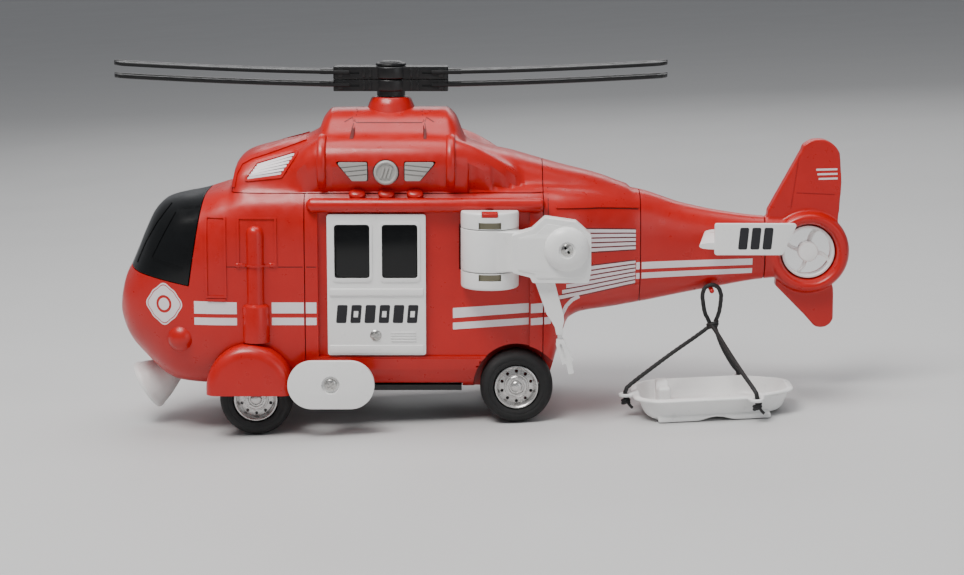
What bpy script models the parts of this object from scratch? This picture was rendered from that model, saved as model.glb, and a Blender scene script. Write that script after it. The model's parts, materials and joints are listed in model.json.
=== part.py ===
"""Toy rescue helicopter: friction-drive body, folding rotor, sliding doors, swinging winch and a stretcher.

Lengths are in millimetres in this file and become metres where a mesh is made.  The airframe is modelled
level, with x towards the tail, y to starboard and z up, and x = y = 0 on the rotor mast.  An empty then
stands it on its wheels, nose slightly up.  The stretcher and its sling are modelled on the floor, at z = 0.
"""
import math

import bmesh
import bpy
from mathutils import Matrix, Vector

MM = 0.001
GAP = 0.3                       # clearance between two mouldings that touch
WALL = 1.8                      # thickness of the plastic shells

# Stance: the wheels are on level ground and the nose points slightly up.
NOSE_UP_DEG = 2.79
AIRFRAME_AT = (-34.793, 4.35, 46.48)

# Body seams and levels
NOSE_SEAM_X = -30.5
REAR_SEAM_X = 55.6
BOOM_SEAM_X = 91.6
TAIL_SEAM_X = 138.0
COWL_FRONT_X = -56.6
SHOULDER_Z = 39.1
BELLY_Z = -33.4
HALF_WIDTH = 31.0

# Wheels
TYRE_R = 13.2
TYRE_W = 12.0
RIM_R = 8.0
TRACK_Y = 26.5                  # middle of each tyre
AXLE_R = 1.2
FRONT_AXLE = (-48.6, -35.7)
REAR_AXLE = (45.9, -31.1)
ARCH_R = 15.6
WELL_WALL_Y = 18.6

# Sliding doors and the recess they run in
DOOR_X = (-22.2, 13.2)
DOOR_Z = (-19.3, 32.0)
RECESS_X = (-25.6, 50.6)
RECESS_Z = (-20.0, 32.5)
RECESS_Y = 29.0
DOOR_OUT_Y = 31.2
DOOR_SCREW = (-4.9, -12.1)
PORT_TRAVEL = 12.0
STARBOARD_TRAVEL = 26.0

# Rotors
MAST_R = 2.2
COLLAR_TOP_Z = 71.5
LOWER_GRIP_Z = (73.7, 77.9)
UPPER_GRIP_Z = (78.2, 82.6)
GRIP_HALF_LENGTH = 21.0
NECK_R = 5.2
ROTOR_R = 101.5
BLADE_HALF_CHORD = 5.6
BLADE_T = 1.7
FAN_AT = (154.4, 14.0)
FAN_R = 9.5
DUCT_R = 15.4
DUCT_HALF_DEPTH = 7.0

# Winch
WINCH_AXIS = (36.2, -31.6)
WINCH_R = 10.4
ARM_Z = (12.4, 27.6)
DROP_PIVOT = (54.2, 15.8)
DROP_Y = -43.2
HOOK_PIVOT = (60.9, -7.9)

# Friction motor: a pair of gear meshes from the rear axle to the flywheel
GEAR_MODULE = 0.8
BIG_TEETH = 16
SMALL_TEETH = 8
GEAR_DISTANCE = GEAR_MODULE * (BIG_TEETH + SMALL_TEETH) / 2 + 0.1
IDLER_AT = (REAR_AXLE[0] + GEAR_DISTANCE * math.cos(math.radians(118.0)),
            REAR_AXLE[1] + GEAR_DISTANCE * math.sin(math.radians(118.0)))
FLYWHEEL_AT = (IDLER_AT[0] - GEAR_DISTANCE * math.cos(math.radians(12.0)),
               IDLER_AT[1] + GEAR_DISTANCE * math.sin(math.radians(12.0)))

# Stretcher, on the floor beside the tail, and the cord sling that hangs from the boom's peg
TUB_X = (52.5, 108.5)
TUB_Y = (-40.55, -4.55)
TUB_TOP = 8.9
PILLOW_Y = (-31.95, -12.95)
SLING_LUGS = [(49.0, -24.55), (94.6, -43.35), (92.6, -1.75)]
CORD_R = 0.8
SLING_LOOP = [(49.0, -24.55, 6.4), (49.2, -24.5, 9.6), (52.0, -22.95, 12.0), (66.0, -14.35, 19.6),
              (78.6, -6.4, 25.8), (82.1, -4.2, 28.4), (80.6, -4.15, 33.0), (80.0, -4.15, 37.6),
              (80.0, -4.15, 39.85),
              (80.98, -4.15, 42.22), (83.35, -4.15, 43.2), (85.72, -4.15, 42.22), (86.7, -4.15, 39.85),
              (86.7, -4.15, 37.6), (85.9, -4.0, 33.0), (84.3, -3.6, 28.4),
              (84.8, -3.4, 25.4), (87.0, -2.75, 19.0), (90.4, -2.05, 12.4), (92.4, -1.75, 9.6),
              (92.6, -1.75, 6.4)]
SLING_LEG = [(83.1, -6.3, 28.0), (84.4, -9.95, 26.0), (87.0, -19.95, 21.6), (90.6, -32.35, 16.0),
             (93.8, -41.35, 11.4), (94.6, -43.15, 9.4), (94.6, -43.35, 6.4)]

PARTS = bpy.data.collections.new("toy_helicopter")
CUTTERS = bpy.data.collections.new("cutters")


# ---------------------------------------------------------------- scene, materials and placing

def clear_scene():
    for obj in list(bpy.data.objects):
        bpy.data.objects.remove(obj, do_unlink=True)
    bpy.context.scene.collection.children.link(PARTS)
    bpy.context.scene.collection.children.link(CUTTERS)


def material(name, colour, roughness, metallic=0.0):
    found = bpy.data.materials.get(name)
    if found:
        return found
    made = bpy.data.materials.new(name)
    made.use_nodes = True
    shader = made.node_tree.nodes["Principled BSDF"]
    shader.inputs["Base Color"].default_value = (*colour, 1.0)
    shader.inputs["Roughness"].default_value = roughness
    shader.inputs["Metallic"].default_value = metallic
    return made


def red_plastic():
    return material("red_plastic", (0.62, 0.03, 0.02), 0.32)


def white_plastic():
    return material("white_plastic", (0.86, 0.86, 0.86), 0.35)


def black_plastic():
    return material("black_plastic", (0.015, 0.015, 0.016), 0.38)


def smoked_plastic():
    return material("smoked_plastic", (0.01, 0.01, 0.012), 0.12)


def grey_plastic():
    return material("grey_plastic", (0.52, 0.52, 0.50), 0.45)


def silver_plastic():
    return material("silver_plastic", (0.70, 0.70, 0.70), 0.30, 0.6)


def tyre_rubber():
    return material("tyre_rubber", (0.02, 0.02, 0.02), 0.75)


def steel():
    return material("steel", (0.56, 0.56, 0.55), 0.30, 1.0)


def brass():
    return material("brass", (0.72, 0.55, 0.28), 0.35, 1.0)


def clear_plastic():
    return material("clear_plastic", (0.85, 0.88, 0.90), 0.08)


def green_board():
    return material("green_board", (0.03, 0.20, 0.08), 0.50)


def black_cord():
    return material("black_cord", (0.02, 0.02, 0.02), 0.85)


def empty(name, parent=None, at=(0.0, 0.0, 0.0), tilt_deg=0.0):
    holder = bpy.data.objects.new(name, None)
    PARTS.objects.link(holder)
    holder.parent = parent
    holder.location = Vector(at) * MM
    holder.rotation_euler = (0.0, math.radians(tilt_deg), 0.0)
    return holder


def keep(obj, name, look, holder):
    """Name a finished piece and hang it on its holder; its mesh stays in its holder's parent's axes."""
    obj.hide_render = False
    obj.display_type = "TEXTURED"
    obj.name = name
    obj.data.name = name
    obj.data.materials.clear()
    obj.data.materials.append(look)
    for group in list(obj.users_collection):
        group.objects.unlink(obj)
    PARTS.objects.link(obj)
    obj.parent = holder
    if holder and holder.parent:
        obj.location = -holder.location
    smooth(obj)
    return obj


def smooth(obj, angle=35.0):
    obj.data.shade_smooth()
    obj.data.set_sharp_from_angle(angle=math.radians(angle))


# ---------------------------------------------------------------- building blocks

def from_bmesh(name, bm):
    bmesh.ops.recalc_face_normals(bm, faces=bm.faces)
    mesh = bpy.data.meshes.new(name)
    bm.to_mesh(mesh)
    bm.free()
    obj = bpy.data.objects.new(name, mesh)
    CUTTERS.objects.link(obj)
    obj.hide_render = True
    obj.display_type = "WIRE"
    return obj


def box(low, high):
    """A box between two corners."""
    bm = bmesh.new()
    bmesh.ops.create_cube(bm, size=1.0)
    low = Vector(low) * MM
    high = Vector(high) * MM
    size = high - low
    for vert in bm.verts:
        vert.co = Vector((vert.co.x * size.x, vert.co.y * size.y, vert.co.z * size.z)) + (low + high) / 2
    return from_bmesh("box", bm)


def rod(start, end, radius, sides=24, end_radius=None):
    """A round bar or cone between two points."""
    start = Vector(start) * MM
    end = Vector(end) * MM
    line = end - start
    turn = line.to_track_quat("Z", "Y").to_matrix().to_4x4()
    far = radius if end_radius is None else end_radius
    bm = bmesh.new()
    bmesh.ops.create_cone(bm, cap_ends=True, segments=sides, radius1=radius * MM, radius2=far * MM,
                          depth=line.length, matrix=Matrix.Translation((start + end) / 2) @ turn)
    return from_bmesh("rod", bm)


def turned(profile, at, axis="Z", steps=32):
    """Turn a closed profile of (radius, height) points about an axis through a point."""
    mesh = bpy.data.meshes.new("turned")
    verts = [(radius * MM, 0.0, height * MM) for radius, height in profile]
    edges = [(i, (i + 1) % len(verts)) for i in range(len(verts))]
    open_profile = profile[0][0] == 0.0 and profile[-1][0] == 0.0
    if open_profile:
        edges.pop()
    mesh.from_pydata(verts, edges, [])
    obj = bpy.data.objects.new("turned", mesh)
    CUTTERS.objects.link(obj)
    screw = obj.modifiers.new("turn", "SCREW")
    screw.steps = steps
    screw.render_steps = steps
    screw.use_merge_vertices = True
    screw.merge_threshold = 0.000002
    screw.use_normal_calculate = True
    if axis == "Y":
        obj.rotation_euler = (math.radians(90.0), 0.0, 0.0)
    if axis == "-Y":
        obj.rotation_euler = (math.radians(-90.0), 0.0, 0.0)
    obj.location = Vector(at) * MM
    return fixed(obj)


def fixed(obj):
    """Turn an object's modifiers and placing into plain mesh in airframe axes."""
    bpy.context.view_layer.update()
    graph = bpy.context.evaluated_depsgraph_get()
    mesh = bpy.data.meshes.new_from_object(obj.evaluated_get(graph), depsgraph=graph)
    mesh.transform(obj.matrix_world)
    bm = bmesh.new()
    bm.from_mesh(mesh)
    bmesh.ops.remove_doubles(bm, verts=bm.verts, dist=0.000001)
    bpy.data.objects.remove(obj, do_unlink=True)
    return from_bmesh("fixed", bm)


def slab(outlines, low, high, facing="Z"):
    """Extrude flat outlines: (x, y) points along Z, or (x, z) points along Y."""
    curve = bpy.data.curves.new("slab", "CURVE")
    curve.dimensions = "2D"
    curve.fill_mode = "BOTH"
    curve.extrude = (high - low) / 2 * MM
    for outline in outlines:
        spline = curve.splines.new("POLY")
        spline.points.add(len(outline) - 1)
        spline.use_cyclic_u = True
        for point, (u, v) in zip(spline.points, outline):
            point.co = (u * MM, v * MM, 0.0, 1.0)
    obj = bpy.data.objects.new("slab", curve)
    CUTTERS.objects.link(obj)
    middle = (low + high) / 2 * MM
    if facing == "Z":
        obj.location = (0.0, 0.0, middle)
    else:
        obj.rotation_euler = (math.radians(90.0), 0.0, 0.0)
        obj.location = (0.0, middle, 0.0)
    return fixed(obj)


def loft(rings):
    """Skin a row of closed rings of (x, y, z) points and cap both ends."""
    bm = bmesh.new()
    rows = [[bm.verts.new(Vector(point) * MM) for point in ring] for ring in rings]
    for near, far in zip(rows, rows[1:]):
        for i in range(len(near)):
            j = (i + 1) % len(near)
            bm.faces.new((near[i], near[j], far[j], far[i]))
    bm.faces.new(rows[0])
    bm.faces.new(rows[-1])
    return from_bmesh("loft", bm)


def combine(obj, others, operation):
    """Join, cut or trim one solid with others; the others are used up."""
    for other in others:
        step = obj.modifiers.new(operation.lower(), "BOOLEAN")
        step.operation = operation
        step.solver = "EXACT"
        step.object = other
    obj = fixed(obj)
    for other in others:
        bpy.data.objects.remove(other, do_unlink=True)
    return obj


def join(obj, *others):
    return combine(obj, others, "UNION")


def cut(obj, *others):
    return combine(obj, others, "DIFFERENCE")


def trim(obj, other):
    return combine(obj, [other], "INTERSECT")


def copy(obj):
    other = bpy.data.objects.new("copy", obj.data.copy())
    CUTTERS.objects.link(other)
    return other


def mirrored(obj):
    """A copy on the other side of the centre plane."""
    other = copy(obj)
    other.data.transform(Matrix.Scale(-1.0, 4, (0.0, 1.0, 0.0)))
    other.data.flip_normals()
    return other


def rounded(obj, width, segments=2, angle=40.0):
    """Round the sharp edges of a solid."""
    bevel = obj.modifiers.new("round", "BEVEL")
    bevel.width = width * MM
    bevel.segments = segments
    bevel.limit_method = "ANGLE"
    bevel.angle_limit = math.radians(angle)
    bevel.use_clamp_overlap = True
    return fixed(obj)


def arc(centre, radius, start_deg, end_deg, count):
    """Points along a circle, both ends included."""
    points = []
    for i in range(count):
        angle = math.radians(start_deg + (end_deg - start_deg) * i / (count - 1))
        points.append((centre[0] + radius * math.cos(angle), centre[1] + radius * math.sin(angle)))
    return points


def circle(centre, radius, count=24):
    return arc(centre, radius, 0.0, 360.0 * (count - 1) / count, count)


def round_corners(corners, radius, count=4):
    """An outline through corners, each turned with a radius."""
    outline = []
    for i, corner in enumerate(corners):
        here = Vector(corner)
        back = (Vector(corners[i - 1]) - here).normalized()
        ahead = (Vector(corners[(i + 1) % len(corners)]) - here).normalized()
        half = back.angle(ahead) / 2
        reach = radius / math.tan(half)
        start = here + back * reach
        end = here + ahead * reach
        for k in range(count):
            t = k / (count - 1)
            bend = start * (1 - t) ** 2 + here * 2 * t * (1 - t) + end * t ** 2
            outline.append((bend.x, bend.y))
    return outline


# ---------------------------------------------------------------- body sections

# x, top, bottom, half width, squareness (2 is an ellipse)
HULL = [
    (-100.4, -3.5, -8.5, 4.0, 2.0),
    (-99.6, 1.5, -11.5, 9.0, 2.1),
    (-98.2, 6.5, -15.0, 13.5, 2.2),
    (-96.0, 10.8, -18.8, 17.5, 2.3),
    (-93.0, 17.5, -22.3, 20.8, 2.4),
    (-90.0, 24.4, -25.3, 23.2, 2.5),
    (-86.5, 31.0, -28.6, 25.2, 2.7),
    (-83.0, 34.0, -31.2, 26.8, 2.9),
    (-78.0, 35.4, -33.0, 28.4, 3.2),
    (-70.0, 36.7, -33.4, 29.8, 3.7),
    (-60.0, 39.4, -33.4, 30.8, 4.4),
    (-48.0, 41.2, -33.4, 31.0, 6.0),
    (50.0, 41.1, -33.3, 30.8, 6.0),
    (57.0, 40.8, -31.2, 30.0, 5.0),
    (61.0, 40.5, -20.0, 29.3, 4.5),
    (65.0, 40.1, -9.0, 28.2, 3.9),
    (70.0, 39.8, -6.9, 26.0, 3.6),
    (80.0, 38.7, -6.2, 20.0, 3.1),
    (91.6, 37.0, -4.7, 13.6, 2.8),
    (107.4, 32.0, -1.7, 10.6, 2.6),
    (122.5, 28.9, 1.1, 8.6, 2.5),
    (136.0, 27.2, 3.4, 7.2, 2.5),
    (150.0, 26.6, 4.6, 6.2, 2.5),
]

# x, top, base, half width at the base, squareness
COWL = [
    (-57.4, 43.0, 37.0, 20.5, 2.6),
    (-56.0, 48.4, 37.0, 22.6, 2.8),
    (-52.4, 51.6, 37.0, 23.8, 3.2),
    (-42.0, 54.8, 37.5, 24.6, 3.4),
    (-26.4, 59.9, 38.0, 25.0, 3.3),
    (-24.4, 64.4, 38.0, 25.0, 3.2),
    (-21.0, 67.5, 38.0, 25.0, 3.4),
    (20.0, 67.8, 38.0, 25.0, 3.4),
    (23.4, 65.2, 38.0, 24.6, 3.2),
    (27.6, 56.3, 38.0, 23.2, 3.0),
    (45.8, 51.0, 37.5, 18.6, 2.8),
    (62.3, 46.4, 36.5, 14.4, 2.7),
    (77.1, 42.6, 35.0, 10.6, 2.6),
    (88.0, 38.2, 33.0, 8.0, 2.5),
]

# x, radius, distance from the middle plane and height of the engine casing on each side
NACELLE = [
    (-42.0, 0.6, 20.0, 47.6),
    (-40.4, 2.8, 20.2, 47.8),
    (-36.4, 5.4, 20.4, 48.3),
    (-31.0, 7.8, 20.5, 48.9),
    (-24.0, 9.2, 20.6, 49.2),
    (-12.0, 9.7, 20.6, 49.2),
    (6.0, 9.7, 20.6, 49.2),
    (22.2, 9.1, 20.6, 49.2),
    (29.0, 7.9, 20.1, 48.4),
    (35.0, 6.4, 19.3, 47.0),
    (41.0, 4.4, 18.3, 45.2),
    (45.6, 2.2, 17.5, 43.9),
    (47.2, 0.6, 17.2, 43.5),
]
NACELLE_Y = 20.6
NACELLE_Z = 49.2
STEP_X = (55.0, 66.0)            # where the belly rises steeply behind the rear wheels
STEP_SHIFT = -0.6                # the inside moves forward there, so the wall keeps its thickness
BAND_X = (-24.0, 22.2)


def section(x, middle_y, low, high, half_width, square, count):
    """A closed, squared ellipse standing across the body."""
    height = (high - low) / 2
    points = []
    for i in range(count):
        angle = 2 * math.pi * (i + 0.5) / count
        across = math.copysign(abs(math.cos(angle)) ** (2 / square), math.cos(angle))
        upward = math.copysign(abs(math.sin(angle)) ** (2 / square), math.sin(angle))
        points.append((x, middle_y + half_width * across, (high + low) / 2 + height * upward))
    return points


def hull(inset=0.0):
    rings = []
    for x, top, bottom, width, square in HULL[2 if inset else 0:]:
        sides = 20 if inset else 24
        along = STEP_SHIFT * inset if STEP_X[0] < x < STEP_X[1] else inset
        rings.append(section(x + along, 0.0, bottom + inset, top - inset, width - inset, square, sides))
    return loft(rings)


def cowl(inset=0.0):
    rings = []
    for x, top, base, width, square in COWL[1 if inset else 0:-1 if inset else None]:
        rise = top - base
        sides = 12 if inset else 20
        along = math.copysign(inset, -x)
        rings.append(section(x + along, 0.0, base - rise + inset, top - inset, width - inset, square, sides))
    return loft(rings)


def nacelle():
    return loft([[(x, y, z) for y, z in circle((-out, up), radius, 16)] for x, radius, out, up in NACELLE])


def nacelle_band(x):
    """The raised hoop round an engine casing."""
    profile = [(0.0, 1.5), (9.7, 1.5), (10.3, 0.7), (10.3, -0.7), (9.7, -1.5), (0.0, -1.5)]
    hoop = turned(profile, (0.0, 0.0, 0.0), steps=16)
    hoop.data.transform(Matrix.Rotation(math.radians(90.0), 4, "Y"))
    hoop.data.transform(Matrix.Translation(Vector((x, -NACELLE_Y, NACELLE_Z)) * MM))
    return hoop


def side_pair(make):
    """The same solid on the port side and mirrored on the starboard side."""
    port = make()
    return [port, mirrored(port)]


def wheel_cylinder(centre, radius, inner_y):
    x, z = centre
    return rod((x, -HALF_WIDTH - 9.0, z), (x, -inner_y, z), radius, 24)


def top_rail():
    """The rounded cover along the top of the door's recess."""
    rail = rod((-27.6, -30.2, 35.2), (54.6, -30.2, 35.2), 2.6, 12)
    return rail


def gear_leg():
    """The moulded leg that stands on the nose, thicker at its foot."""
    profile = [(0.0, 27.7), (1.6, 27.4), (2.8, 26.6), (3.2, 25.4), (3.2, -0.4), (4.9, -1.2), (4.9, -14.4),
               (0.0, -14.4)]
    return turned(profile, (-48.0, -30.3, 0.0), "Z", 14)


def cheek_bump():
    """The blister low on the side of the nose."""
    profile = [(0.0, 3.2), (2.8, 2.6), (4.7, 0.8), (5.3, -1.4), (5.3, -6.0), (0.0, -6.0)]
    bump = turned(profile, (0.0, 0.0, 0.0), steps=14)
    bump.data.transform(Matrix.Rotation(math.radians(90.0), 4, "X"))
    bump.data.transform(Matrix.Rotation(math.radians(-12.0), 4, "Z"))
    bump.data.transform(Matrix.Translation(Vector((-75.9, -27.6, -13.7)) * MM))
    return bump


def door_recess():
    return box((RECESS_X[0], -HALF_WIDTH - 9.0, RECESS_Z[0]), (RECESS_X[1], -RECESS_Y, RECESS_Z[1]))


def recess_backing():
    """Keeps a full wall behind the recess when the body is hollowed."""
    reach = WALL
    return box((RECESS_X[0] - reach, -HALF_WIDTH, RECESS_Z[0] - reach),
               (RECESS_X[1] + reach, -RECESS_Y + WALL, RECESS_Z[1] + reach))


def body_skin():
    """The whole hollow body in one piece, before it is parted at its seams."""
    outside = hull()
    outside = join(outside, cowl(), *side_pair(nacelle))
    bands = [band for x in BAND_X for band in side_pair(lambda: nacelle_band(x))]
    outside = join(outside, *bands, *side_pair(top_rail), *side_pair(gear_leg), *side_pair(cheek_bump))
    collar = rod((0.0, 0.0, 60.0), (0.0, 0.0, COLLAR_TOP_Z), 10.6, 20, 6.7)
    outside = join(outside, collar)

    inside = join(hull(WALL), cowl(WALL))
    wells = []
    for centre in (FRONT_AXLE, REAR_AXLE):
        wells += side_pair(lambda: wheel_cylinder(centre, ARCH_R + WALL, WELL_WALL_Y - WALL))
    inside = cut(inside, *wells, *side_pair(recess_backing))

    skin = cut(outside, inside)
    arches = []
    for centre in (FRONT_AXLE, REAR_AXLE):
        arches += side_pair(lambda: wheel_cylinder(centre, ARCH_R, WELL_WALL_Y))
        axle_hole = rod((centre[0], -40.0, centre[1]), (centre[0], 40.0, centre[1]), AXLE_R + 0.5, 12)
        arches.append(axle_hole)
    mast_hole = rod((0.0, 0.0, 55.0), (0.0, 0.0, 80.0), MAST_R + 0.5, 16)
    skin = cut(skin, *arches, *side_pair(door_recess), mast_hole)
    lamp_hole = rod((-89.06, 0.0, -35.26), (-78.74, 0.0, -29.13), 9.1, 20, 3.23)
    return cut(skin, pan(GAP, BELLY_Z - 3.0, BELLY_Z + 3.0), lamp_hole, winch_pocket(), *door_slots(),
               *button_holes())


def winch_pocket():
    """The opening behind the winch that its drum turns into."""
    x, y = WINCH_AXIS
    return box((x - WINCH_R - 0.6, y - 5.0, ARM_Z[0] - 0.7), (x + 2.2, y + WINCH_R + 0.6, ARM_Z[1] + 0.7))


def door_slots():
    """The slot through each side that joins a door to the slider behind the wall."""
    x, z = DOOR_SCREW
    return [box((x - 1.9, -40.0, z - 1.8), (x + PORT_TRAVEL + 1.9, -25.0, z + 1.8)),
            box((x - 1.9, 25.0, z - 1.8), (x + STARBOARD_TRAVEL + 1.9, 40.0, z + 1.8))]


def clip(source, low, high, *cutters):
    """The stretch of the body between two corners."""
    piece = trim(copy(source), box(low, high))
    if cutters:
        piece = cut(piece, *cutters)
    return piece


def windscreen_space(grow):
    """A wedge over the nose: above the sill line and ahead of the door pillar."""
    sill = (-72.6 + grow, 5.9 - grow)
    outline = [(-105.0, 12.4 - grow), sill, (-67.4 + grow, 38.6), (-67.0 + grow, 50.0), (-105.0, 50.0)]
    return slab([outline], -40.0, 40.0, "Y")


def pan(grow, low, high):
    """The base plate: narrow between the wheel wells and wide between the axles."""
    narrow = 14.0 + grow
    wide = 26.0 + grow
    long_part = box((-68.0 - grow, -narrow, low), (54.2 + grow, narrow, high))
    wide_part = box((-29.0 - grow, -wide, low), (26.0 + grow, wide, high))
    return join(long_part, wide_part)


def body(frame):
    skin = body_skin()
    far = 60.0
    half = GAP / 2
    above_nose = box((COWL_FRONT_X - GAP, -far, SHOULDER_Z - GAP), (NOSE_SEAM_X + 5.0, far, far + 40.0))
    nose = clip(skin, (-110.0, -far, -far), (NOSE_SEAM_X, far, far + 30.0),
                above_nose, windscreen_space(GAP + 0.1))
    keep(nose, "nose_shell", red_plastic(), frame)

    glazing = trim(copy(skin), windscreen_space(0.0))
    keep(glazing, "windscreen", smoked_plastic(), frame)

    cabin_low = (NOSE_SEAM_X + GAP, -far, -far)
    port = clip(skin, cabin_low, (REAR_SEAM_X - GAP, -half, SHOULDER_Z - GAP))
    keep(port, "cabin_port", red_plastic(), frame)
    starboard = clip(skin, (cabin_low[0], half, -far), (REAR_SEAM_X - GAP, far, SHOULDER_Z - GAP))
    keep(starboard, "cabin_starboard", red_plastic(), frame)

    top = clip(skin, (COWL_FRONT_X, -far, SHOULDER_Z), (REAR_SEAM_X - GAP, far, 90.0))
    keep(top, "engine_cowl", red_plastic(), frame)

    rear = clip(skin, (REAR_SEAM_X, -far, -far), (BOOM_SEAM_X - GAP, far, far))
    keep(rear, "rear_fuselage", red_plastic(), frame)

    boom = clip(skin, (BOOM_SEAM_X, -far, -far), (TAIL_SEAM_X - GAP, far, far))
    boom = join(boom, sling_cleat())
    keep(boom, "tail_boom", red_plastic(), frame)
    bpy.data.objects.remove(skin, do_unlink=True)


def sling_cleat():
    """The peg under the boom that the sling's loop hangs on."""
    return rod((118.3, -2.0, 0.5), (118.3, -9.8, 0.3), 0.9, 12)


def belly(frame):
    plate = pan(0.0, BELLY_Z, BELLY_Z + 2.0)
    posts = []
    for x, z in (FRONT_AXLE, REAR_AXLE):
        for side in (-1, 1):
            y = side * 11.5
            low = min(z - 3.4, BELLY_Z)
            posts.append(box((x - 3.2, y - 1.5, low), (x + 3.2, y + 1.5, z + 3.4)))
    motor_hump = box((37.2, -0.4, BELLY_Z - 6.2), (54.2, 6.4, BELLY_Z + 1.0))
    plate = join(plate, motor_hump, *posts)
    holes = [rod((x, -20.0, z), (x, 20.0, z), AXLE_R + 0.3, 12) for x, z in (FRONT_AXLE, REAR_AXLE)]
    hatch = slab([round_corners([(-21.0, -9.0), (-3.0, -9.0), (-3.0, 9.0), (-21.0, 9.0)], 1.5)],
                 BELLY_Z - 1.0, BELLY_Z + 3.0)
    gear_slot = box((38.3, 0.8, BELLY_Z - 5.2), (53.3, 5.2, BELLY_Z + 3.0))
    switch_slot = box((6.0, -2.6, BELLY_Z - 1.0), (14.0, 2.6, BELLY_Z + 3.0))
    sound_slots = [box((18.0, y - 0.6, BELLY_Z - 1.0), (26.0, y + 0.6, BELLY_Z + 3.0)) for y in (-18.0,
                                                                                                 -15.0,
                                                                                                 -12.0)]
    plate = cut(plate, *holes, hatch, gear_slot, switch_slot, *sound_slots)
    keep(plate, "chassis_pan", black_plastic(), frame)

    cover = slab([round_corners([(-20.7, -8.7), (-3.3, -8.7), (-3.3, 8.7), (-20.7, 8.7)], 1.5)],
                 BELLY_Z, BELLY_Z + 1.6)
    keep(cover, "battery_cover", black_plastic(), frame)

    cell, step = 5.8, 5.4
    profile = [(0.0, 8.1)]
    for i in range(3):
        top = 8.1 - i * step
        profile += [(cell, top), (cell, top - step + 0.6), (cell - 0.6, top - step + 0.3)]
    profile.append((0.0, 8.1 - 3 * step + 0.3))
    cells = turned(profile, (-12.0, 0.0, BELLY_Z + 9.0), "Y", 16)
    keep(cells, "battery_cells", steel(), frame)

    cone = [(0.0, 1.2), (3.6, 1.2), (8.6, 3.0), (10.0, 3.0), (10.0, 0.0), (6.5, -2.4), (4.4, -5.0),
            (0.0, -5.0)]
    speaker = turned(cone, (14.0, 0.0, -2.0), "Z", 24)
    keep(speaker, "speaker", black_plastic(), frame)

    board = slab([round_corners([(-18.0, 0.0), (22.0, 0.0), (22.0, 10.0), (-18.0, 10.0)], 1.0)],
                 -24.4, -23.0, "Y")
    board.data.transform(Matrix.Translation(Vector((-1.0, 4.0, 42.0)) * MM))
    keep(board, "circuit_board", green_board(), frame)


def fairings(frame):
    """The half-round blisters over the front wheels, and the white foot plates behind them."""
    for side, name in ((1, "port"), (-1, "starboard")):
        outline = [(-66.0, -32.9)] + arc((-50.3, -30.6), 15.7, 180.0, 0.0, 13) + [(-34.6, -32.9)]
        shell = rounded(slab([outline], -38.6, -31.3, "Y"), 2.0, 2)
        hollow = slab([[(-64.2, -36.0)] + arc((-50.3, -30.6), 13.9, 180.0, 0.0, 13) + [(-36.4, -36.0)]],
                      -36.8, -20.0, "Y")
        shell = cut(shell, hollow)
        if side < 0:
            shell = swapped(shell)
        keep(shell, "front_fairing_" + name, red_plastic(), frame)

        stadium = arc((-27.5, -28.3), 8.7, 270.0, 90.0, 9) + arc((-13.8, -28.3), 8.7, 90.0, -90.0, 9)
        plate = rounded(slab([stadium], -41.4, -38.9, "Y"), 0.5, 1)
        stem = box((-26.0, -39.5, -32.6), (-15.0, -31.4, -24.0))
        plate = join(plate, stem)
        if side < 0:
            plate = swapped(plate)
        keep(plate, "foot_plate_" + name, white_plastic(), frame)


def swapped(obj):
    """Move a port piece to the starboard side."""
    other = mirrored(obj)
    bpy.data.objects.remove(obj, do_unlink=True)
    return other


def searchlight(frame):
    """A cup-shaped lamp under the chin, pointing ahead and down."""
    profile = [(0.0, 13.4), (4.0, 13.2), (7.2, 7.0), (8.9, 2.4), (9.4, 0.0), (8.4, 0.0), (7.9, 2.0),
               (5.6, 8.0), (0.0, 11.0)]
    cup = turned(profile, (0.0, 0.0, 0.0), "Z", 24)
    lens = turned([(0.0, 2.6), (7.4, 2.2), (7.5, 1.2), (5.0, 0.3), (0.0, 0.0)], (0.0, 0.0, 0.4), "Z", 24)
    for piece, name, look in ((cup, "searchlight_cup", white_plastic()),
                              (lens, "searchlight_lens", clear_plastic())):
        piece.data.transform(Matrix.Rotation(math.radians(59.3), 4, "Y"))
        piece.data.transform(Matrix.Translation(Vector((-92.5, 0.0, -37.3)) * MM))
        keep(piece, name, look, frame)


# ---------------------------------------------------------------- doors

def doors(frame):
    for name, flip, travel in (("port", False, PORT_TRAVEL), ("starboard", True, STARBOARD_TRAVEL)):
        side = 1 if flip else -1
        holder = empty("door_slide_" + name, frame, (DOOR_SCREW[0], side * DOOR_OUT_Y, DOOR_SCREW[1]))
        leaf = door_leaf()
        glazing = box((-20.3, -30.0, 8.2), (11.1, -RECESS_Y - 0.35, 29.0))
        slider = slab([round_corners([(-12.0, -15.4), (2.0, -15.4), (2.0, -8.8), (-12.0, -8.8)], 1.0)],
                      -26.8, -25.4, "Y")
        boss = rod((DOOR_SCREW[0], -26.6, DOOR_SCREW[1]), (DOOR_SCREW[0], -29.2, DOOR_SCREW[1]), 1.4, 12)
        slider = join(slider, boss)
        pieces = [(leaf, "door_" + name, white_plastic()),
                  (glazing, "door_glazing_" + name, smoked_plastic()),
                  (slider, "door_slider_" + name, white_plastic())]
        for piece, label, look in pieces:
            if flip:
                piece = swapped(piece)
            keep(piece, label, look, holder)


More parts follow.
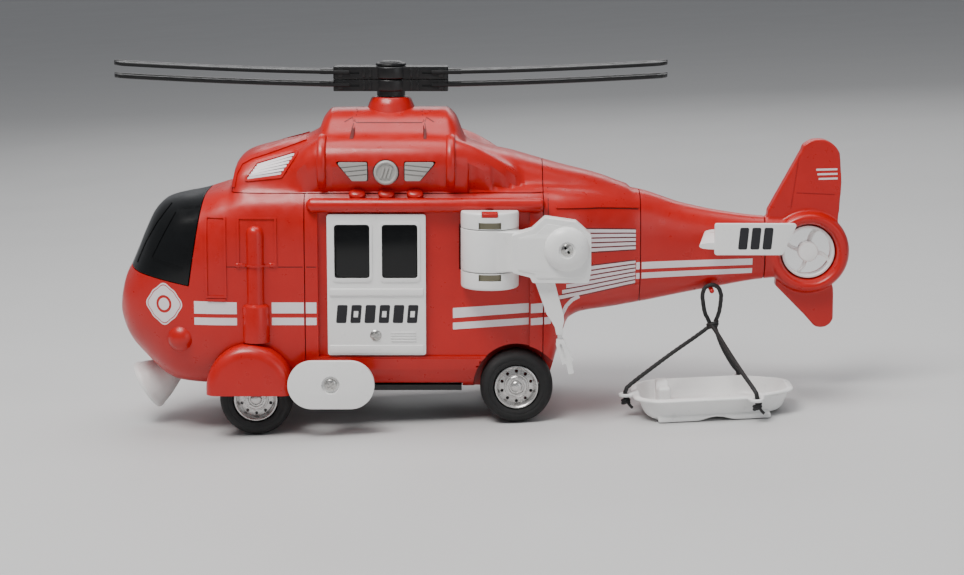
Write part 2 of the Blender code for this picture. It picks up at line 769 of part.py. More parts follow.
def door_leaf():
    low, high = DOOR_Z
    outline = round_corners([(DOOR_X[0], low), (DOOR_X[1], low), (DOOR_X[1], high), (DOOR_X[0], high)],
                            0.8, 3)
    leaf = slab([outline], -DOOR_OUT_Y, -RECESS_Y - 0.35, "Y")
    panes = [(-19.6, -6.9), (-2.5, 10.3)]
    cutters = []
    for start, end in panes:
        window = round_corners([(start, 8.8), (end, 8.8), (end, 28.3), (start, 28.3)], 0.8, 3)
        cutters.append(slab([window], -40.0, -20.0, "Y"))
    cutters.append(box((-20.7, -30.4, 7.8), (11.5, -20.0, 29.4)))
    waist = box((DOOR_X[0] + 1.0, -DOOR_OUT_Y - 0.5, 2.4), (DOOR_X[1] - 1.0, -DOOR_OUT_Y + 0.6, 5.0))
    grip = box((0.0, -DOOR_OUT_Y - 0.6, -14.6), (9.6, -DOOR_OUT_Y + 0.6, -11.0))
    return join(cut(leaf, *cutters), waist, grip)


# ---------------------------------------------------------------- wheels and friction motor

def wheels(frame):
    for label, (x, z) in (("front", FRONT_AXLE), ("rear", REAR_AXLE)):
        hub = empty(label + "_axle_line", frame, (x, 0.0, z))
        axle = rod((x, -31.0, z), (x, 31.0, z), AXLE_R, 16)
        keep(axle, label + "_axle", steel(), hub)
        for side, name in ((-1, "port"), (1, "starboard")):
            tyre = turned(tyre_profile(), (x, side * TRACK_Y, z), "Y" if side < 0 else "-Y", 24)
            keep(tyre, "tyre_" + label + "_" + name, tyre_rubber(), hub)
            rim = turned(rim_profile(), (x, side * TRACK_Y, z), "Y" if side < 0 else "-Y", 24)
            keep(rim, "rim_" + label + "_" + name, silver_plastic(), hub)
    return bpy.data.objects["rear_axle_line"]


def tyre_profile():
    """Cross-section from the outer sidewall over the tread; heights point outwards."""
    half = TYRE_W / 2
    return [(RIM_R + 0.3, half - 0.8), (TYRE_R - 3.0, half), (TYRE_R - 1.0, half - 0.9),
            (TYRE_R, half - 2.8),
            (TYRE_R, -half + 2.8), (TYRE_R - 1.0, -half + 0.9), (TYRE_R - 3.0, -half),
            (RIM_R + 0.3, -half + 0.8)]


def rim_profile():
    """A dished wheel: bright lip, sunken disc, raised hub."""
    half = TYRE_W / 2
    bore = AXLE_R + 0.3
    return [(bore, half - 1.5), (4.3, half - 2.0), (4.6, half - 3.2), (6.4, half - 3.4), (7.0, half - 0.8),
            (RIM_R, half - 1.0), (RIM_R, -half + 1.6), (6.8, -half + 1.6), (6.4, half - 5.0),
            (3.0, half - 5.0),
            (3.0, -half + 2.0), (bore, -half + 2.0)]


def gear_outline(teeth, phase_deg):
    """Straight-flanked teeth of the common module."""
    pitch = GEAR_MODULE * teeth / 2
    outer = pitch + 0.72 * GEAR_MODULE
    root = pitch - 0.98 * GEAR_MODULE
    step = 2 * math.pi / teeth
    outline = []
    for i in range(teeth):
        middle = math.radians(phase_deg) + i * step
        for radius, share in ((root, -0.31), (outer, -0.11), (outer, 0.11), (root, 0.31)):
            angle = middle + share * step
            outline.append((radius * math.cos(angle), radius * math.sin(angle)))
    return outline


def gear(centre, teeth, phase_deg, y_low, y_high, bore):
    x, z = centre
    outline = [(x + u, z + v) for u, v in gear_outline(teeth, phase_deg)]
    outlines = [outline]
    if bore:
        outlines.append(circle((x, z), bore, 16))
    return slab(outlines, y_low, y_high, "Y")


def mesh_phase(driver, driver_phase, driver_teeth, driven, driven_teeth):
    """The phase that puts a gap of the driven gear on a tooth of its driver, along their line of centres."""
    line = math.degrees(math.atan2(driven[1] - driver[1], driven[0] - driver[0]))
    step = 360.0 / driver_teeth
    offset = (line - driver_phase) % step
    turned_by = offset * driver_teeth / driven_teeth
    return line + 180.0 + turned_by + 180.0 / driven_teeth


def friction_motor(frame, rear_hub):
    big = (REAR_AXLE[0], REAR_AXLE[1])
    axle_gear = gear(big, BIG_TEETH, 0.0, 2.0, 4.0, AXLE_R + 0.3)
    keep(axle_gear, "axle_gear", white_plastic(), rear_hub)

    idler_line = empty("idler_line", frame, (IDLER_AT[0], 0.0, IDLER_AT[1]))
    phase = mesh_phase(big, 0.0, BIG_TEETH, IDLER_AT, SMALL_TEETH)
    idler = join(gear(IDLER_AT, SMALL_TEETH, phase, 1.4, 4.6, 0.0),
                 gear(IDLER_AT, BIG_TEETH, phase, -1.6, 0.6, 0.0),
                 rod((IDLER_AT[0], -7.2, IDLER_AT[1]), (IDLER_AT[0], 7.2, IDLER_AT[1]), 0.9, 12),
                 rod((IDLER_AT[0], 0.4, IDLER_AT[1]), (IDLER_AT[0], 1.6, IDLER_AT[1]), 1.6, 12))
    keep(idler, "idler_gear", white_plastic(), idler_line)

    fly_line = empty("flywheel_line", frame, (FLYWHEEL_AT[0], 0.0, FLYWHEEL_AT[1]))
    phase = mesh_phase(IDLER_AT, phase, BIG_TEETH, FLYWHEEL_AT, SMALL_TEETH)
    x, z = FLYWHEEL_AT
    wheel = join(gear(FLYWHEEL_AT, SMALL_TEETH, phase, -2.0, 1.0, 0.0),
                 rod((x, -7.2, z), (x, 7.2, z), 0.9, 12),
                 rod((x, -5.6, z), (x, -2.6, z), 6.6, 28))
    keep(wheel, "flywheel", brass(), fly_line)

    sides = [box((24.0, y - 0.7, -31.1), (52.0, y + 0.7, -9.0)) for y in (-8.0, 8.0)]
    bridge = box((24.0, -8.4, -9.4), (52.0, 8.4, -8.2))
    holes = []
    for cx, cz in (IDLER_AT, FLYWHEEL_AT):
        holes.append(rod((cx, -12.0, cz), (cx, 12.0, cz), 1.2, 12))
    holes.append(slab([[(REAR_AXLE[0] - 1.6, -40.0), (REAR_AXLE[0] + 1.6, -40.0),
                        (REAR_AXLE[0] + 1.6, -28.0),
                        (REAR_AXLE[0] - 1.6, -28.0)]], -12.0, 12.0, "Y"))
    housing = cut(join(bridge, *sides), *holes)
    keep(housing, "motor_bracket", white_plastic(), frame)


# ---------------------------------------------------------------- rotors

def rotors(frame):
    spin = empty("rotor_spin", frame, (0.0, 0.0, LOWER_GRIP_Z[0]))
    fold = empty("rotor_fold", frame, (0.0, 0.0, UPPER_GRIP_Z[0]))
    shaft = turned([(0.0, 82.0), (1.4, 82.0), (1.4, 77.9), (MAST_R, 77.9), (MAST_R, 54.0), (3.4, 54.0),
                    (3.4, 52.6), (0.0, 52.6)], (0.0, 0.0, 0.0), "Z", 20)
    keep(shaft, "rotor_mast", steel(), spin)
    lower = rotor_bar(LOWER_GRIP_Z, 76.2, 79.4, MAST_R + 0.3, 6.4, COLLAR_TOP_Z + GAP)
    keep(lower, "rotor_bar_lower", black_plastic(), spin)
    upper = rotor_bar(UPPER_GRIP_Z, 80.8, 84.0, 1.7, 6.6, UPPER_GRIP_Z[0])
    keep(upper, "rotor_bar_upper", black_plastic(), fold)
    cap = turned([(0.0, 84.6), (3.4, 84.4), (5.2, 83.7), (5.6, 82.9), (0.0, 82.9)], (0.0, 0.0, 0.0), "Z", 28)
    keep(cap, "rotor_cap", black_plastic(), fold)


def rotor_bar(levels, root_z, tip_z, bore, boss_r, foot):
    """Two blades on one moulded grip, whose neck reaches down to the foot."""
    low, high = levels
    length = GRIP_HALF_LENGTH
    grip = slab([round_corners([(-length, -4.6), (length, -4.6), (length, 4.6), (-length, 4.6)], 1.2, 3)],
                low, high)
    boss = rod((0.0, 0.0, low), (0.0, 0.0, high), boss_r, 24)
    bar = join(grip, boss, blade(root_z, tip_z, 1), blade(root_z, tip_z, -1))
    if foot < low:
        bar = join(bar, rod((0.0, 0.0, foot), (0.0, 0.0, low + 1.0), NECK_R, 24))
    return cut(bar, rod((0.0, 0.0, low - 4.0), (0.0, 0.0, high + 2.0), bore, 20))


def blade(root_z, tip_z, side):
    """A thin paddle that curves up a little towards a round tip."""
    start = GRIP_HALF_LENGTH - 6.0
    end_centre = ROTOR_R - BLADE_HALF_CHORD
    stations = [start + (end_centre - start) * i / 4 for i in range(5)]
    rings = []
    for x in stations:
        rings.append((x, BLADE_HALF_CHORD))
    for angle in (35.0, 65.0, 86.0):
        across = BLADE_HALF_CHORD * math.cos(math.radians(angle))
        rings.append((end_centre + BLADE_HALF_CHORD * math.sin(math.radians(angle)), across))
    solid = []
    for x, half in rings:
        t = (x - start) / (ROTOR_R - start)
        z = root_z + (tip_z - root_z) * t ** 1.6
        thick = BLADE_T / 2
        solid.append([(side * x, -half, z - thick), (side * x, half, z - thick),
                      (side * x, half, z + thick * 0.6), (side * x, 0.0, z + thick),
                      (side * x, -half, z + thick * 0.6)])
    return loft(solid)


def tail(frame):
    """The fin moulding with its shrouded tail rotor, and the stabiliser on the port side."""
    cx, cz = FAN_AT
    upper = [(138.8, 24.8), (139.2, 29.4), (151.2, 51.6)] + arc((157.6, 47.6), 8.2, 135.0, 20.0, 7)
    upper += [(166.2, 40.0), (165.6, 30.0), (164.0, 14.0), (150.0, 14.0)]
    lower = [(143.0, 8.0), (142.6, 1.2), (153.9, -10.2)] + arc((159.8, -10.0), 4.7, 235.0, 345.0, 6)
    lower += [(164.2, 0.0), (162.0, 8.0)]
    fin = rounded(slab([upper], -3.0, 3.0, "Y"), 1.6, 2)
    tip = rounded(slab([lower], -2.6, 2.6, "Y"), 1.4, 2)
    ring = turned([(FAN_R + 0.6, 6.2), (12.4, DUCT_HALF_DEPTH), (14.6, 5.2), (DUCT_R, 2.4),
                   (DUCT_R, -2.4), (14.6, -5.2), (12.4, -DUCT_HALF_DEPTH), (FAN_R + 0.6, -6.2)],
                  (cx, 0.0, cz), "Y", 28)
    stub = trim(hull(), box((TAIL_SEAM_X, -20.0, -20.0), (146.2, 20.0, 60.0)))
    disc = rod((cx, -9.0, cz), (cx, 9.0, cz), DUCT_R - 1.7, 24)
    fin = cut(join(fin, tip), copy(disc))
    stub = cut(stub, disc)
    whole = join(ring, fin, stub)
    lip = turned([(FAN_R + 1.2, -2.2), (FAN_R + 1.2, -3.4), (FAN_R - 0.6, -3.4), (FAN_R - 0.6, -2.2)],
                 (cx, 0.0, cz), "Y", 28)
    whole = join(whole, lip)
    keep(whole, "tail_fin", red_plastic(), frame)

    spin = empty("tail_rotor_spin", frame, (cx, 0.0, cz))
    rim = turned([(FAN_R + 0.3, 3.4), (FAN_R + 0.3, -1.9), (FAN_R - 1.0, -1.9), (FAN_R - 1.0, 3.4)],
                 (cx, 0.0, cz), "Y", 28)
    hub = turned([(0.0, 4.0), (3.2, 4.0), (3.7, 3.4), (3.7, -1.6), (0.0, -1.6)], (cx, 0.0, cz), "Y", 16)
    spokes = []
    for i in range(4):
        spoke = box((2.6, -0.6, -0.75), (FAN_R - 0.5, 1.6, 0.75))
        spoke.data.transform(Matrix.Rotation(math.radians(34.0), 4, "X"))
        spoke.data.transform(Matrix.Rotation(math.radians(9.0 + 90.0 * i), 4, "Y"))
        spoke.data.transform(Matrix.Translation(Vector((cx, -0.8, cz)) * MM))
        spokes.append(spoke)
    keep(join(rim, hub, *spokes), "tail_rotor", white_plastic(), spin)

    outline = round_corners([(115.7, 19.0), (139.6, 19.0), (144.8, 30.2), (115.7, 30.2)], 0.8, 3)
    plate = rounded(slab([outline], -42.0, -40.0, "Y"), 0.4, 1)
    wing = loft([wing_ring(-9.9, 115.0, 134.0), wing_ring(-40.6, 110.3, 134.0)])
    keep(cut(join(plate, wing), boom_clearance()), "stabiliser", white_plastic(), frame)


def wing_ring(y, front, back):
    level = 22.0
    chord = back - front
    shape = [(0.0, -0.4), (0.0, 0.4), (0.12, 1.1), (0.5, 1.3), (1.0, 0.5), (1.0, -0.5), (0.5, -1.2),
             (0.12, -1.0)]
    return [(front + chord * u, y, level + v) for u, v in shape]


def boom_clearance():
    """The boom's outside, grown by the clearance between mouldings."""
    rings = []
    for x, top, bottom, width, square in HULL[-6:]:
        rings.append(section(x, 0.0, bottom - GAP, top + GAP, width + GAP, square, 32))
    return loft(rings)


# ---------------------------------------------------------------- buttons and switch

def button_shapes(grow):
    """A round button between two slanted ones, as seen from the side."""
    g = grow
    ahead = round_corners([(-18.6 - 2.14 * g, 50.6 + g), (-7.6 + g, 50.6 + g),
                           (-7.6 + g, 43.9 - g), (-13.0 - 0.47 * g, 43.9 - g)], 0.7, 3)
    disc = circle((-0.9, 46.9), 4.4 + g, 24)
    behind = [(-1.8 - x, z) for x, z in reversed(ahead)]
    return {"sound_button_front": ahead, "sound_button_middle": disc, "sound_button_rear": behind}


def button_holes():
    return [slab([shape], -40.0, -16.0, "Y") for shape in button_shapes(GAP).values()]


def buttons(frame):
    fronts = {"sound_button_front": -30.4, "sound_button_middle": -31.0, "sound_button_rear": -30.4}
    for name, shape in button_shapes(0.0).items():
        holder = empty(name + "_push", frame, (-0.9, -30.0, 47.0))
        cap = rounded(slab([shape], fronts[name], -23.0, "Y"), 0.4, 1)
        keep(cap, name, grey_plastic(), holder)
    holder = empty("power_switch_slide", frame, (8.2, 0.0, BELLY_Z))
    knob = join(box((6.3, -2.3, BELLY_Z - 0.8), (9.7, 2.3, BELLY_Z + 2.6)),
                box((5.0, -4.0, BELLY_Z + 2.3), (11.0, 4.0, BELLY_Z + 3.5)))
    keep(knob, "power_switch", black_plastic(), holder)


# ---------------------------------------------------------------- winch

def winch(frame):
    x, y = WINCH_AXIS
    drum = rod((x, y, 6.0), (x, y, 33.8), WINCH_R, 24)
    middle = rod((x, y, ARM_Z[0] - GAP), (x, y, ARM_Z[1] + GAP), WINCH_R + 2.0, 24)
    bore = rod((x, y, 0.0), (x, y, 40.0), 1.9, 16)
    back_y = -RECESS_Y - GAP
    backs = [box((x - 8.0, y + 0.4, 6.0), (x + 8.0, back_y, ARM_Z[0] - GAP)),
             box((x - 8.0, y + 0.4, ARM_Z[1] + GAP), (x + 8.0, back_y, RECESS_Z[1] - GAP)),
             box((x + 2.6, y + 0.4, ARM_Z[0] - 1.0), (x + 8.0, back_y, ARM_Z[1] + 1.0))]
    inner = box((x - 20.0, back_y, 0.0), (x + 20.0, 0.0, 40.0))
    above = box((x - 20.0, -HALF_WIDTH - GAP, RECESS_Z[1] - GAP), (x + 20.0, 0.0, 40.0))
    notch = box((x - 3.0, y - 12.0, 32.2), (x + 3.0, y - 4.0, 36.0))
    rail_clearance = rod((0.0, -30.2, 35.2), (60.0, -30.2, 35.2), 2.9, 12)
    bracket = cut(rounded(drum, 0.7, 1), middle)
    eyes = [box((x - 4.0, y - 14.0, z - 1.2), (x + 4.0, y - 6.0, z + 1.2)) for z in (29.2, 10.6)]
    bracket = cut(join(bracket, *backs), inner, above, bore, notch, rail_clearance, *eyes)
    keep(bracket, "winch_bracket", white_plastic(), frame)
    pin = rod((x, y, 7.0), (x, y, 31.8), 1.5, 16)
    keep(pin, "winch_pin", steel(), frame)

    swing = empty("winch_swing", frame, (x, y, 20.0))
    hub = rod((x, y, ARM_Z[0]), (x, y, ARM_Z[1]), WINCH_R, 24)
    clear = box((x - 20.0, y + 0.1, 0.0), (x + 20.0, 0.0, 40.0))
    beam = box((x, y - WINCH_R + 0.2, ARM_Z[0] + 0.3), (53.5, y - 4.6, ARM_Z[1] - 0.3))
    head = slab([head_outline()], -46.8, -39.6, "Y")
    arm = join(cut(hub, clear), beam, head)
    arm = cut(arm, rod((x, y, 0.0), (x, y, 40.0), 1.8, 16), drop_pocket())
    keep(arm, "winch_arm", white_plastic(), swing)

    dome = [(0.0, 3.6), (4.4, 3.2), (6.6, 2.2), (7.9, 0.6), (7.9, 0.0), (0.0, 0.0)]
    cap = turned(dome, (63.2, -47.1, 22.0), "Y", 24)
    keep(cap, "winch_cap", white_plastic(), swing)

    drop = empty("drop_arm_pivot", frame, (DROP_PIVOT[0], DROP_Y, DROP_PIVOT[1]))
    keep(drop_arm(), "drop_arm", white_plastic(), drop)
    hook = empty("hook_pivot", frame, (HOOK_PIVOT[0], DROP_Y, HOOK_PIVOT[1]))
    keep(hook_plate(), "rescue_hook", white_plastic(), hook)


def head_outline():
    return [(51.2, 9.8), (71.0, 9.8), (71.8, 14.0), (71.8, 26.8), (66.6, 31.4), (55.6, 33.0), (51.0, 28.8),
            (44.0, 26.6), (44.0, 13.4), (50.4, 11.8)]


def drop_pocket():
    """The slot in the head that the drop arm swings in, with its pivot pin left standing."""
    pocket = box((49.8, DROP_Y - 1.8, 0.0), (72.8, DROP_Y + 1.8, 21.6))
    x, z = DROP_PIVOT
    return cut(pocket, rod((x, DROP_Y - 2.4, z), (x, DROP_Y + 2.4, z), 1.0, 16))


def drop_arm():
    x, z = DROP_PIVOT
    outline = arc((x, z), 3.0, 20.0, 190.0, 8)
    outline += [(52.3, 9.4), (56.3, -1.8), (57.6, -3.6), (59.2, -6.4), (59.8, -9.2), (62.2, -9.2),
                (62.0, -6.6), (62.3, -2.0), (61.4, 1.2), (59.2, 9.4)]
    arm = slab([outline], DROP_Y - 1.4, DROP_Y + 1.4, "Y")
    arm = cut(arm, rod((x, -50.0, z), (x, -38.0, z), 1.3, 16))
    fork = box((57.0, DROP_Y - 0.55, -12.0), (65.0, DROP_Y + 0.55, -5.6))
    arm = cut(arm, fork)
    peg = rod((HOOK_PIVOT[0], DROP_Y - 1.4, HOOK_PIVOT[1]), (HOOK_PIVOT[0], DROP_Y + 1.4, HOOK_PIVOT[1]),
              0.5, 12)
    return join(arm, peg)


def hook_plate():
    x, z = HOOK_PIVOT
    eye = rod((x, DROP_Y - 0.3, z), (x, DROP_Y + 0.3, z), 1.3, 16)
    neck = slab([[(x - 0.7, z - 1.05), (x + 0.9, z - 1.05), (x + 1.5, z - 3.8), (x - 0.5, z - 3.8)]],
                DROP_Y - 0.28, DROP_Y + 0.28, "Y")
    blade_outline = [(59.9, -11.0), (62.6, -11.0), (65.9, -18.4), (64.9, -19.0), (66.2, -23.2),
                     (64.2, -23.6),
                     (63.3, -19.8), (62.0, -20.2), (59.7, -13.0)]
    plate = slab([blade_outline], DROP_Y - 1.1, DROP_Y + 1.1, "Y")
    hook = join(eye, neck, plate)
    return cut(hook, rod((x, -50.0, z), (x, -38.0, z), 0.8, 12))


# ---------------------------------------------------------------- stretcher and sling

def stretcher():
    """A shallow tub with rolled rims, carrying lugs and a low skirt."""
    tub = loft([tub_ring(0.0, 3.4), tub_ring(2.4, 2.4), tub_ring(TUB_TOP, 0.0)])
    hollow = loft([tub_ring(2.2, 5.0), tub_ring(3.8, 3.6), tub_ring(TUB_TOP + 1.0, 1.2)])
    rim = slab([tub_outline(-1.2)], TUB_TOP - 1.3, TUB_TOP - 0.2)
    lugs = [rod((x, y, TUB_TOP - 1.6), (x, y, TUB_TOP - 0.5), 2.5, 12) for x, y in SLING_LUGS]
    tub = cut(join(tub, rim, *lugs), hollow)
    middle = (TUB_X[0] + TUB_X[1]) / 2
    skirt_gap = box((middle - 8.0, TUB_Y[0] - 5.0, -1.0), (middle + 7.0, TUB_Y[1] + 5.0, 1.6))
    eyes = [rod((x, y, 0.0), (x, y, 20.0), CORD_R + 0.4, 10) for x, y in SLING_LUGS]
    pillow = box((TUB_X[0] + 8.0, PILLOW_Y[0], 1.5), (TUB_X[0] + 12.6, PILLOW_Y[1], 11.4))
    tub = join(cut(tub, skirt_gap, *eyes), pillow)
    keep(tub, "stretcher", white_plastic(), None)


def tub_outline(inset):
    low_x, high_x = TUB_X
    low_y, high_y = TUB_Y
    corners = [(low_x + inset, low_y + 6.0), (low_x + 7.0, low_y + inset), (high_x - 16.0, low_y + inset),
               (high_x - inset, low_y + 9.0), (high_x - inset, high_y - 9.0),
               (high_x - 16.0, high_y - inset),
               (low_x + 7.0, high_y - inset), (low_x + inset, high_y - 6.0)]
    return round_corners(corners, 2.5, 2)


def tub_ring(z, inset):
    return [(x, y, z) for x, y in tub_outline(inset)]


def smooth_route(points, spacing):
    """A Catmull-Rom curve through the route's points, sampled about every spacing."""
    route = [Vector(point) for point in points]
    route = [route[0] * 2 - route[1]] + route + [route[-1] * 2 - route[-2]]
    samples = []
    for before, start, end, after in zip(route, route[1:], route[2:], route[3:]):
        steps = max(1, round((end - start).length / spacing))
        for i in range(steps):
            t = i / steps
            bend = start * 2 + (end - before) * t + (before * 2 - start * 5 + end * 4 - after) * t ** 2
            samples.append((bend + (start * 3 - before - end * 3 + after) * t ** 3) / 2)
    samples.append(route[-2])
    return samples


def cord(name, points):
    curve = bpy.data.curves.new(name, "CURVE")
    curve.dimensions = "3D"
    curve.bevel_depth = CORD_R * MM
    curve.bevel_resolution = 2
    curve.use_fill_caps = True
    samples = smooth_route(points, 2.4 * CORD_R * 2)
    spline = curve.splines.new("POLY")
    spline.points.add(len(samples) - 1)
    for point, sample in zip(spline.points, samples):
        point.co = (*(sample * MM), 1.0)
    tube = bpy.data.objects.new(name, curve)
    PARTS.objects.link(tube)
    curve.materials.append(black_cord())


def sling():
    """A cord from the foot lug over the peg to the far lug, and one that joins it to the near lug."""
    cord("sling_loop", SLING_LOOP)
    cord("sling_leg", SLING_LEG)


def main():
    clear_scene()
    frame = empty("airframe", None, AIRFRAME_AT, NOSE_UP_DEG)
    body(frame)
    belly(frame)
    fairings(frame)
    searchlight(frame)
    doors(frame)
    rear_hub = wheels(frame)
    friction_motor(frame, rear_hub)
    rotors(frame)
    tail(frame)
    buttons(frame)
    winch(frame)
    stretcher()
    sling()


main()
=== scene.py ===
"""Toy rescue helicopter, visual model: finer shells, decals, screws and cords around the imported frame.

Shapes are made in millimetres in the airframe's own level axes (x to the tail, y to starboard, z up,
x = y = 0 on the rotor mast) and set on the row frame by TO_ROW.  The stretcher and sling use row axes.
"""
import json
import math

import bmesh
import bpy
import numpy as np
from mathutils import Matrix, Vector
from mathutils.bvhtree import BVHTree
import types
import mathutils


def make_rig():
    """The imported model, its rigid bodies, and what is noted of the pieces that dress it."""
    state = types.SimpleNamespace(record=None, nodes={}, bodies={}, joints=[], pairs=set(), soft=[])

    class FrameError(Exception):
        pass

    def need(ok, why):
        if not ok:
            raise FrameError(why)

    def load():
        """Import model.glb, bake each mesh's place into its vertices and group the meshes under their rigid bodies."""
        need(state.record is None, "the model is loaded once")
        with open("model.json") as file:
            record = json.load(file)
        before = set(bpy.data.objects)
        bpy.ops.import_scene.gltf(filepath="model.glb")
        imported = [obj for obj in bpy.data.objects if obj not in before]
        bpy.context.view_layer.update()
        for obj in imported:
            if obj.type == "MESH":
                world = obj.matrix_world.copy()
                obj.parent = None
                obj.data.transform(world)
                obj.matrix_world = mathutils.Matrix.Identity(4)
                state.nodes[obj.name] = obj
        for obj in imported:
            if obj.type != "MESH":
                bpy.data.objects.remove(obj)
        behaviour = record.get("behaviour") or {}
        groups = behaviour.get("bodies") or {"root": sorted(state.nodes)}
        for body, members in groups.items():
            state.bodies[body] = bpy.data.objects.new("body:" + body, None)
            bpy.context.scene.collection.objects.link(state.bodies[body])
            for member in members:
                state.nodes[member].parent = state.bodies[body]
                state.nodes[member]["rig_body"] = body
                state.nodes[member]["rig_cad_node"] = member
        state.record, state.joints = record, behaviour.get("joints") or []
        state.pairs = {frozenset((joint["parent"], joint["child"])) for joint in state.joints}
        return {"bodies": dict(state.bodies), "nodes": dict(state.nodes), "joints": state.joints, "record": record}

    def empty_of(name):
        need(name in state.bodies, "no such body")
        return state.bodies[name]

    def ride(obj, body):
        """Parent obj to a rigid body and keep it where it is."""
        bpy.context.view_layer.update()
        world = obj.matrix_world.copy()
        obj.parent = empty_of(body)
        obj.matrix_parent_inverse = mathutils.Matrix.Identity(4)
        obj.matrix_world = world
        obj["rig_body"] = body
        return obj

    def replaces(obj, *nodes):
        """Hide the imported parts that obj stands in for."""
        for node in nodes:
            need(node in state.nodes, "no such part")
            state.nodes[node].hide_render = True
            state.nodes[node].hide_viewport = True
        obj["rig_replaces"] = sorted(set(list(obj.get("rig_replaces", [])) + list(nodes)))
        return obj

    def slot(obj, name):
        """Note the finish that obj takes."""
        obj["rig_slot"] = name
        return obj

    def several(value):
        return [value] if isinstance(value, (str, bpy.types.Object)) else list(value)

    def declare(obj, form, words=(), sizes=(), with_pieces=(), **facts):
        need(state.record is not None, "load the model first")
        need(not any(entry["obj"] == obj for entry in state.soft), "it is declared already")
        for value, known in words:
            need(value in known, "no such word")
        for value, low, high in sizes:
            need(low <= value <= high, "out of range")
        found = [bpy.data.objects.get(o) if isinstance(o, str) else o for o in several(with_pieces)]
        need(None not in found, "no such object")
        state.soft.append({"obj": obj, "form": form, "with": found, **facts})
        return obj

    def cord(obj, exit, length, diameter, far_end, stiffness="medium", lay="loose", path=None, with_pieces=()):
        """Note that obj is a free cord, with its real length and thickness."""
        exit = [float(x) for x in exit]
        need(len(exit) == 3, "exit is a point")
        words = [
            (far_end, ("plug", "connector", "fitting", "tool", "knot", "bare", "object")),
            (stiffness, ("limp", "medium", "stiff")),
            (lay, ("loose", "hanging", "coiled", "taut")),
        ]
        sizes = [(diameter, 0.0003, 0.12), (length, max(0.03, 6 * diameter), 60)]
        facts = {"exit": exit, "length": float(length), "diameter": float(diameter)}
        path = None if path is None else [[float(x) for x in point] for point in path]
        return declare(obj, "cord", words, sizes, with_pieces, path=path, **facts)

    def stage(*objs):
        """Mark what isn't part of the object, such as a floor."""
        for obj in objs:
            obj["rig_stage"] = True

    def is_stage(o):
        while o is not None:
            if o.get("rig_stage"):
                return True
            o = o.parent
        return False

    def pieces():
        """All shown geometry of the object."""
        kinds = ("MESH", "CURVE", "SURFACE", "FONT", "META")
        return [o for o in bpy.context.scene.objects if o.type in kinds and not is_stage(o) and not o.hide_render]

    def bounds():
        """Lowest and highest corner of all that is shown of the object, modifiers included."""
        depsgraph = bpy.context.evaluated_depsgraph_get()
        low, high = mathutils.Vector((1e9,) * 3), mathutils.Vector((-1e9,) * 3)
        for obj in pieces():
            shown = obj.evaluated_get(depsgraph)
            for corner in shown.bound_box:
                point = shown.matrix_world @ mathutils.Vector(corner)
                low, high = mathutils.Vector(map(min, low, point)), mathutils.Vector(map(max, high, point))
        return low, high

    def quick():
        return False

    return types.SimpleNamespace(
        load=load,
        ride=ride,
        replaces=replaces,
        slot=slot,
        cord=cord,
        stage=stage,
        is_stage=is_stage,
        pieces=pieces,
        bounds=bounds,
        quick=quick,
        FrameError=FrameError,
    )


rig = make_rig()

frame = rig.load()
CAD_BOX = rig.bounds()
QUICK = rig.quick()
NODES = frame["nodes"]

MM = 0.001
TILT = Matrix.Rotation(math.radians(2.79), 4, "Y")  # the toy stands nose-up
AT = Vector((-34.793, 4.35, 46.48))  # the airframe's own origin in the row frame
TO_ROW = Matrix.Scale(MM, 4) @ Matrix.Translation(AT) @ TILT
ROW_MM = Matrix.Scale(MM, 4)
GAP = 0.3  # between neighbouring mouldings
WALL = 1.8


# ---------------------------------------------------------------- camera and light

LENS = 85.03
SENSOR = 36
CAMERA_AT = Vector((5.761, -832.75, 192.28))
CAMERA_DOWN = 10


def linked(name, data):
    obj = bpy.data.objects.new(name, data)
    bpy.context.scene.collection.objects.link(obj)
    return obj


def camera():
    """A long lens on the port side, looking ten degrees down."""
    data = bpy.data.cameras.new("camera")
    data.lens = LENS
    data.sensor_width = SENSOR
    data.clip_end = 60
    cam = linked("camera", data)
    down = math.radians(CAMERA_DOWN)
    look = Matrix(((1, 0, 0), (0, math.sin(down), -math.cos(down)), (0, math.cos(down), math.sin(down))))
    cam.matrix_world = Matrix.Translation(CAMERA_AT * MM) @ TILT @ look.to_4x4()
    bpy.context.scene.camera = cam


def lamp(name, place, aim, size, power, colour=(1, 1, 1)):
    data = bpy.data.lights.new(name, "AREA")
    data.shape = "RECTANGLE"
    data.size, data.size_y = size
    data.energy = power
    data.color = colour
    lamp_object = linked(name, data)
    line = Vector(aim) - Vector(place)
    lamp_object.location = place
    lamp_object.rotation_euler = line.to_track_quat("-Z", "Y").to_euler()


def studio():
    lamp("key", (-0.30, -0.40, 0.95), (0, 0, 0.05), (0.55, 0.35), 11, (1, 0.985, 0.96))
    lamp("fill", (0.75, -0.85, 0.35), (0, 0, 0.05), (0.6, 0.6), 1.6, (0.96, 0.98, 1))
    lamp("top", (0, 0.10, 0.95), (0, 0, 0), (0.9, 0.5), 5)
    lamp("back", (0.1, 0.95, 0.55), (0, 0, 0.06), (0.8, 0.4), 2)
    world = bpy.data.worlds.new("studio")
    bpy.context.scene.world = world
    world.use_nodes = True
    back = world.node_tree.nodes["Background"]
    back.inputs["Color"].default_value = (0.80, 0.82, 0.86, 1)
    back.inputs["Strength"].default_value = 0.30


# ---------------------------------------------------------------- materials

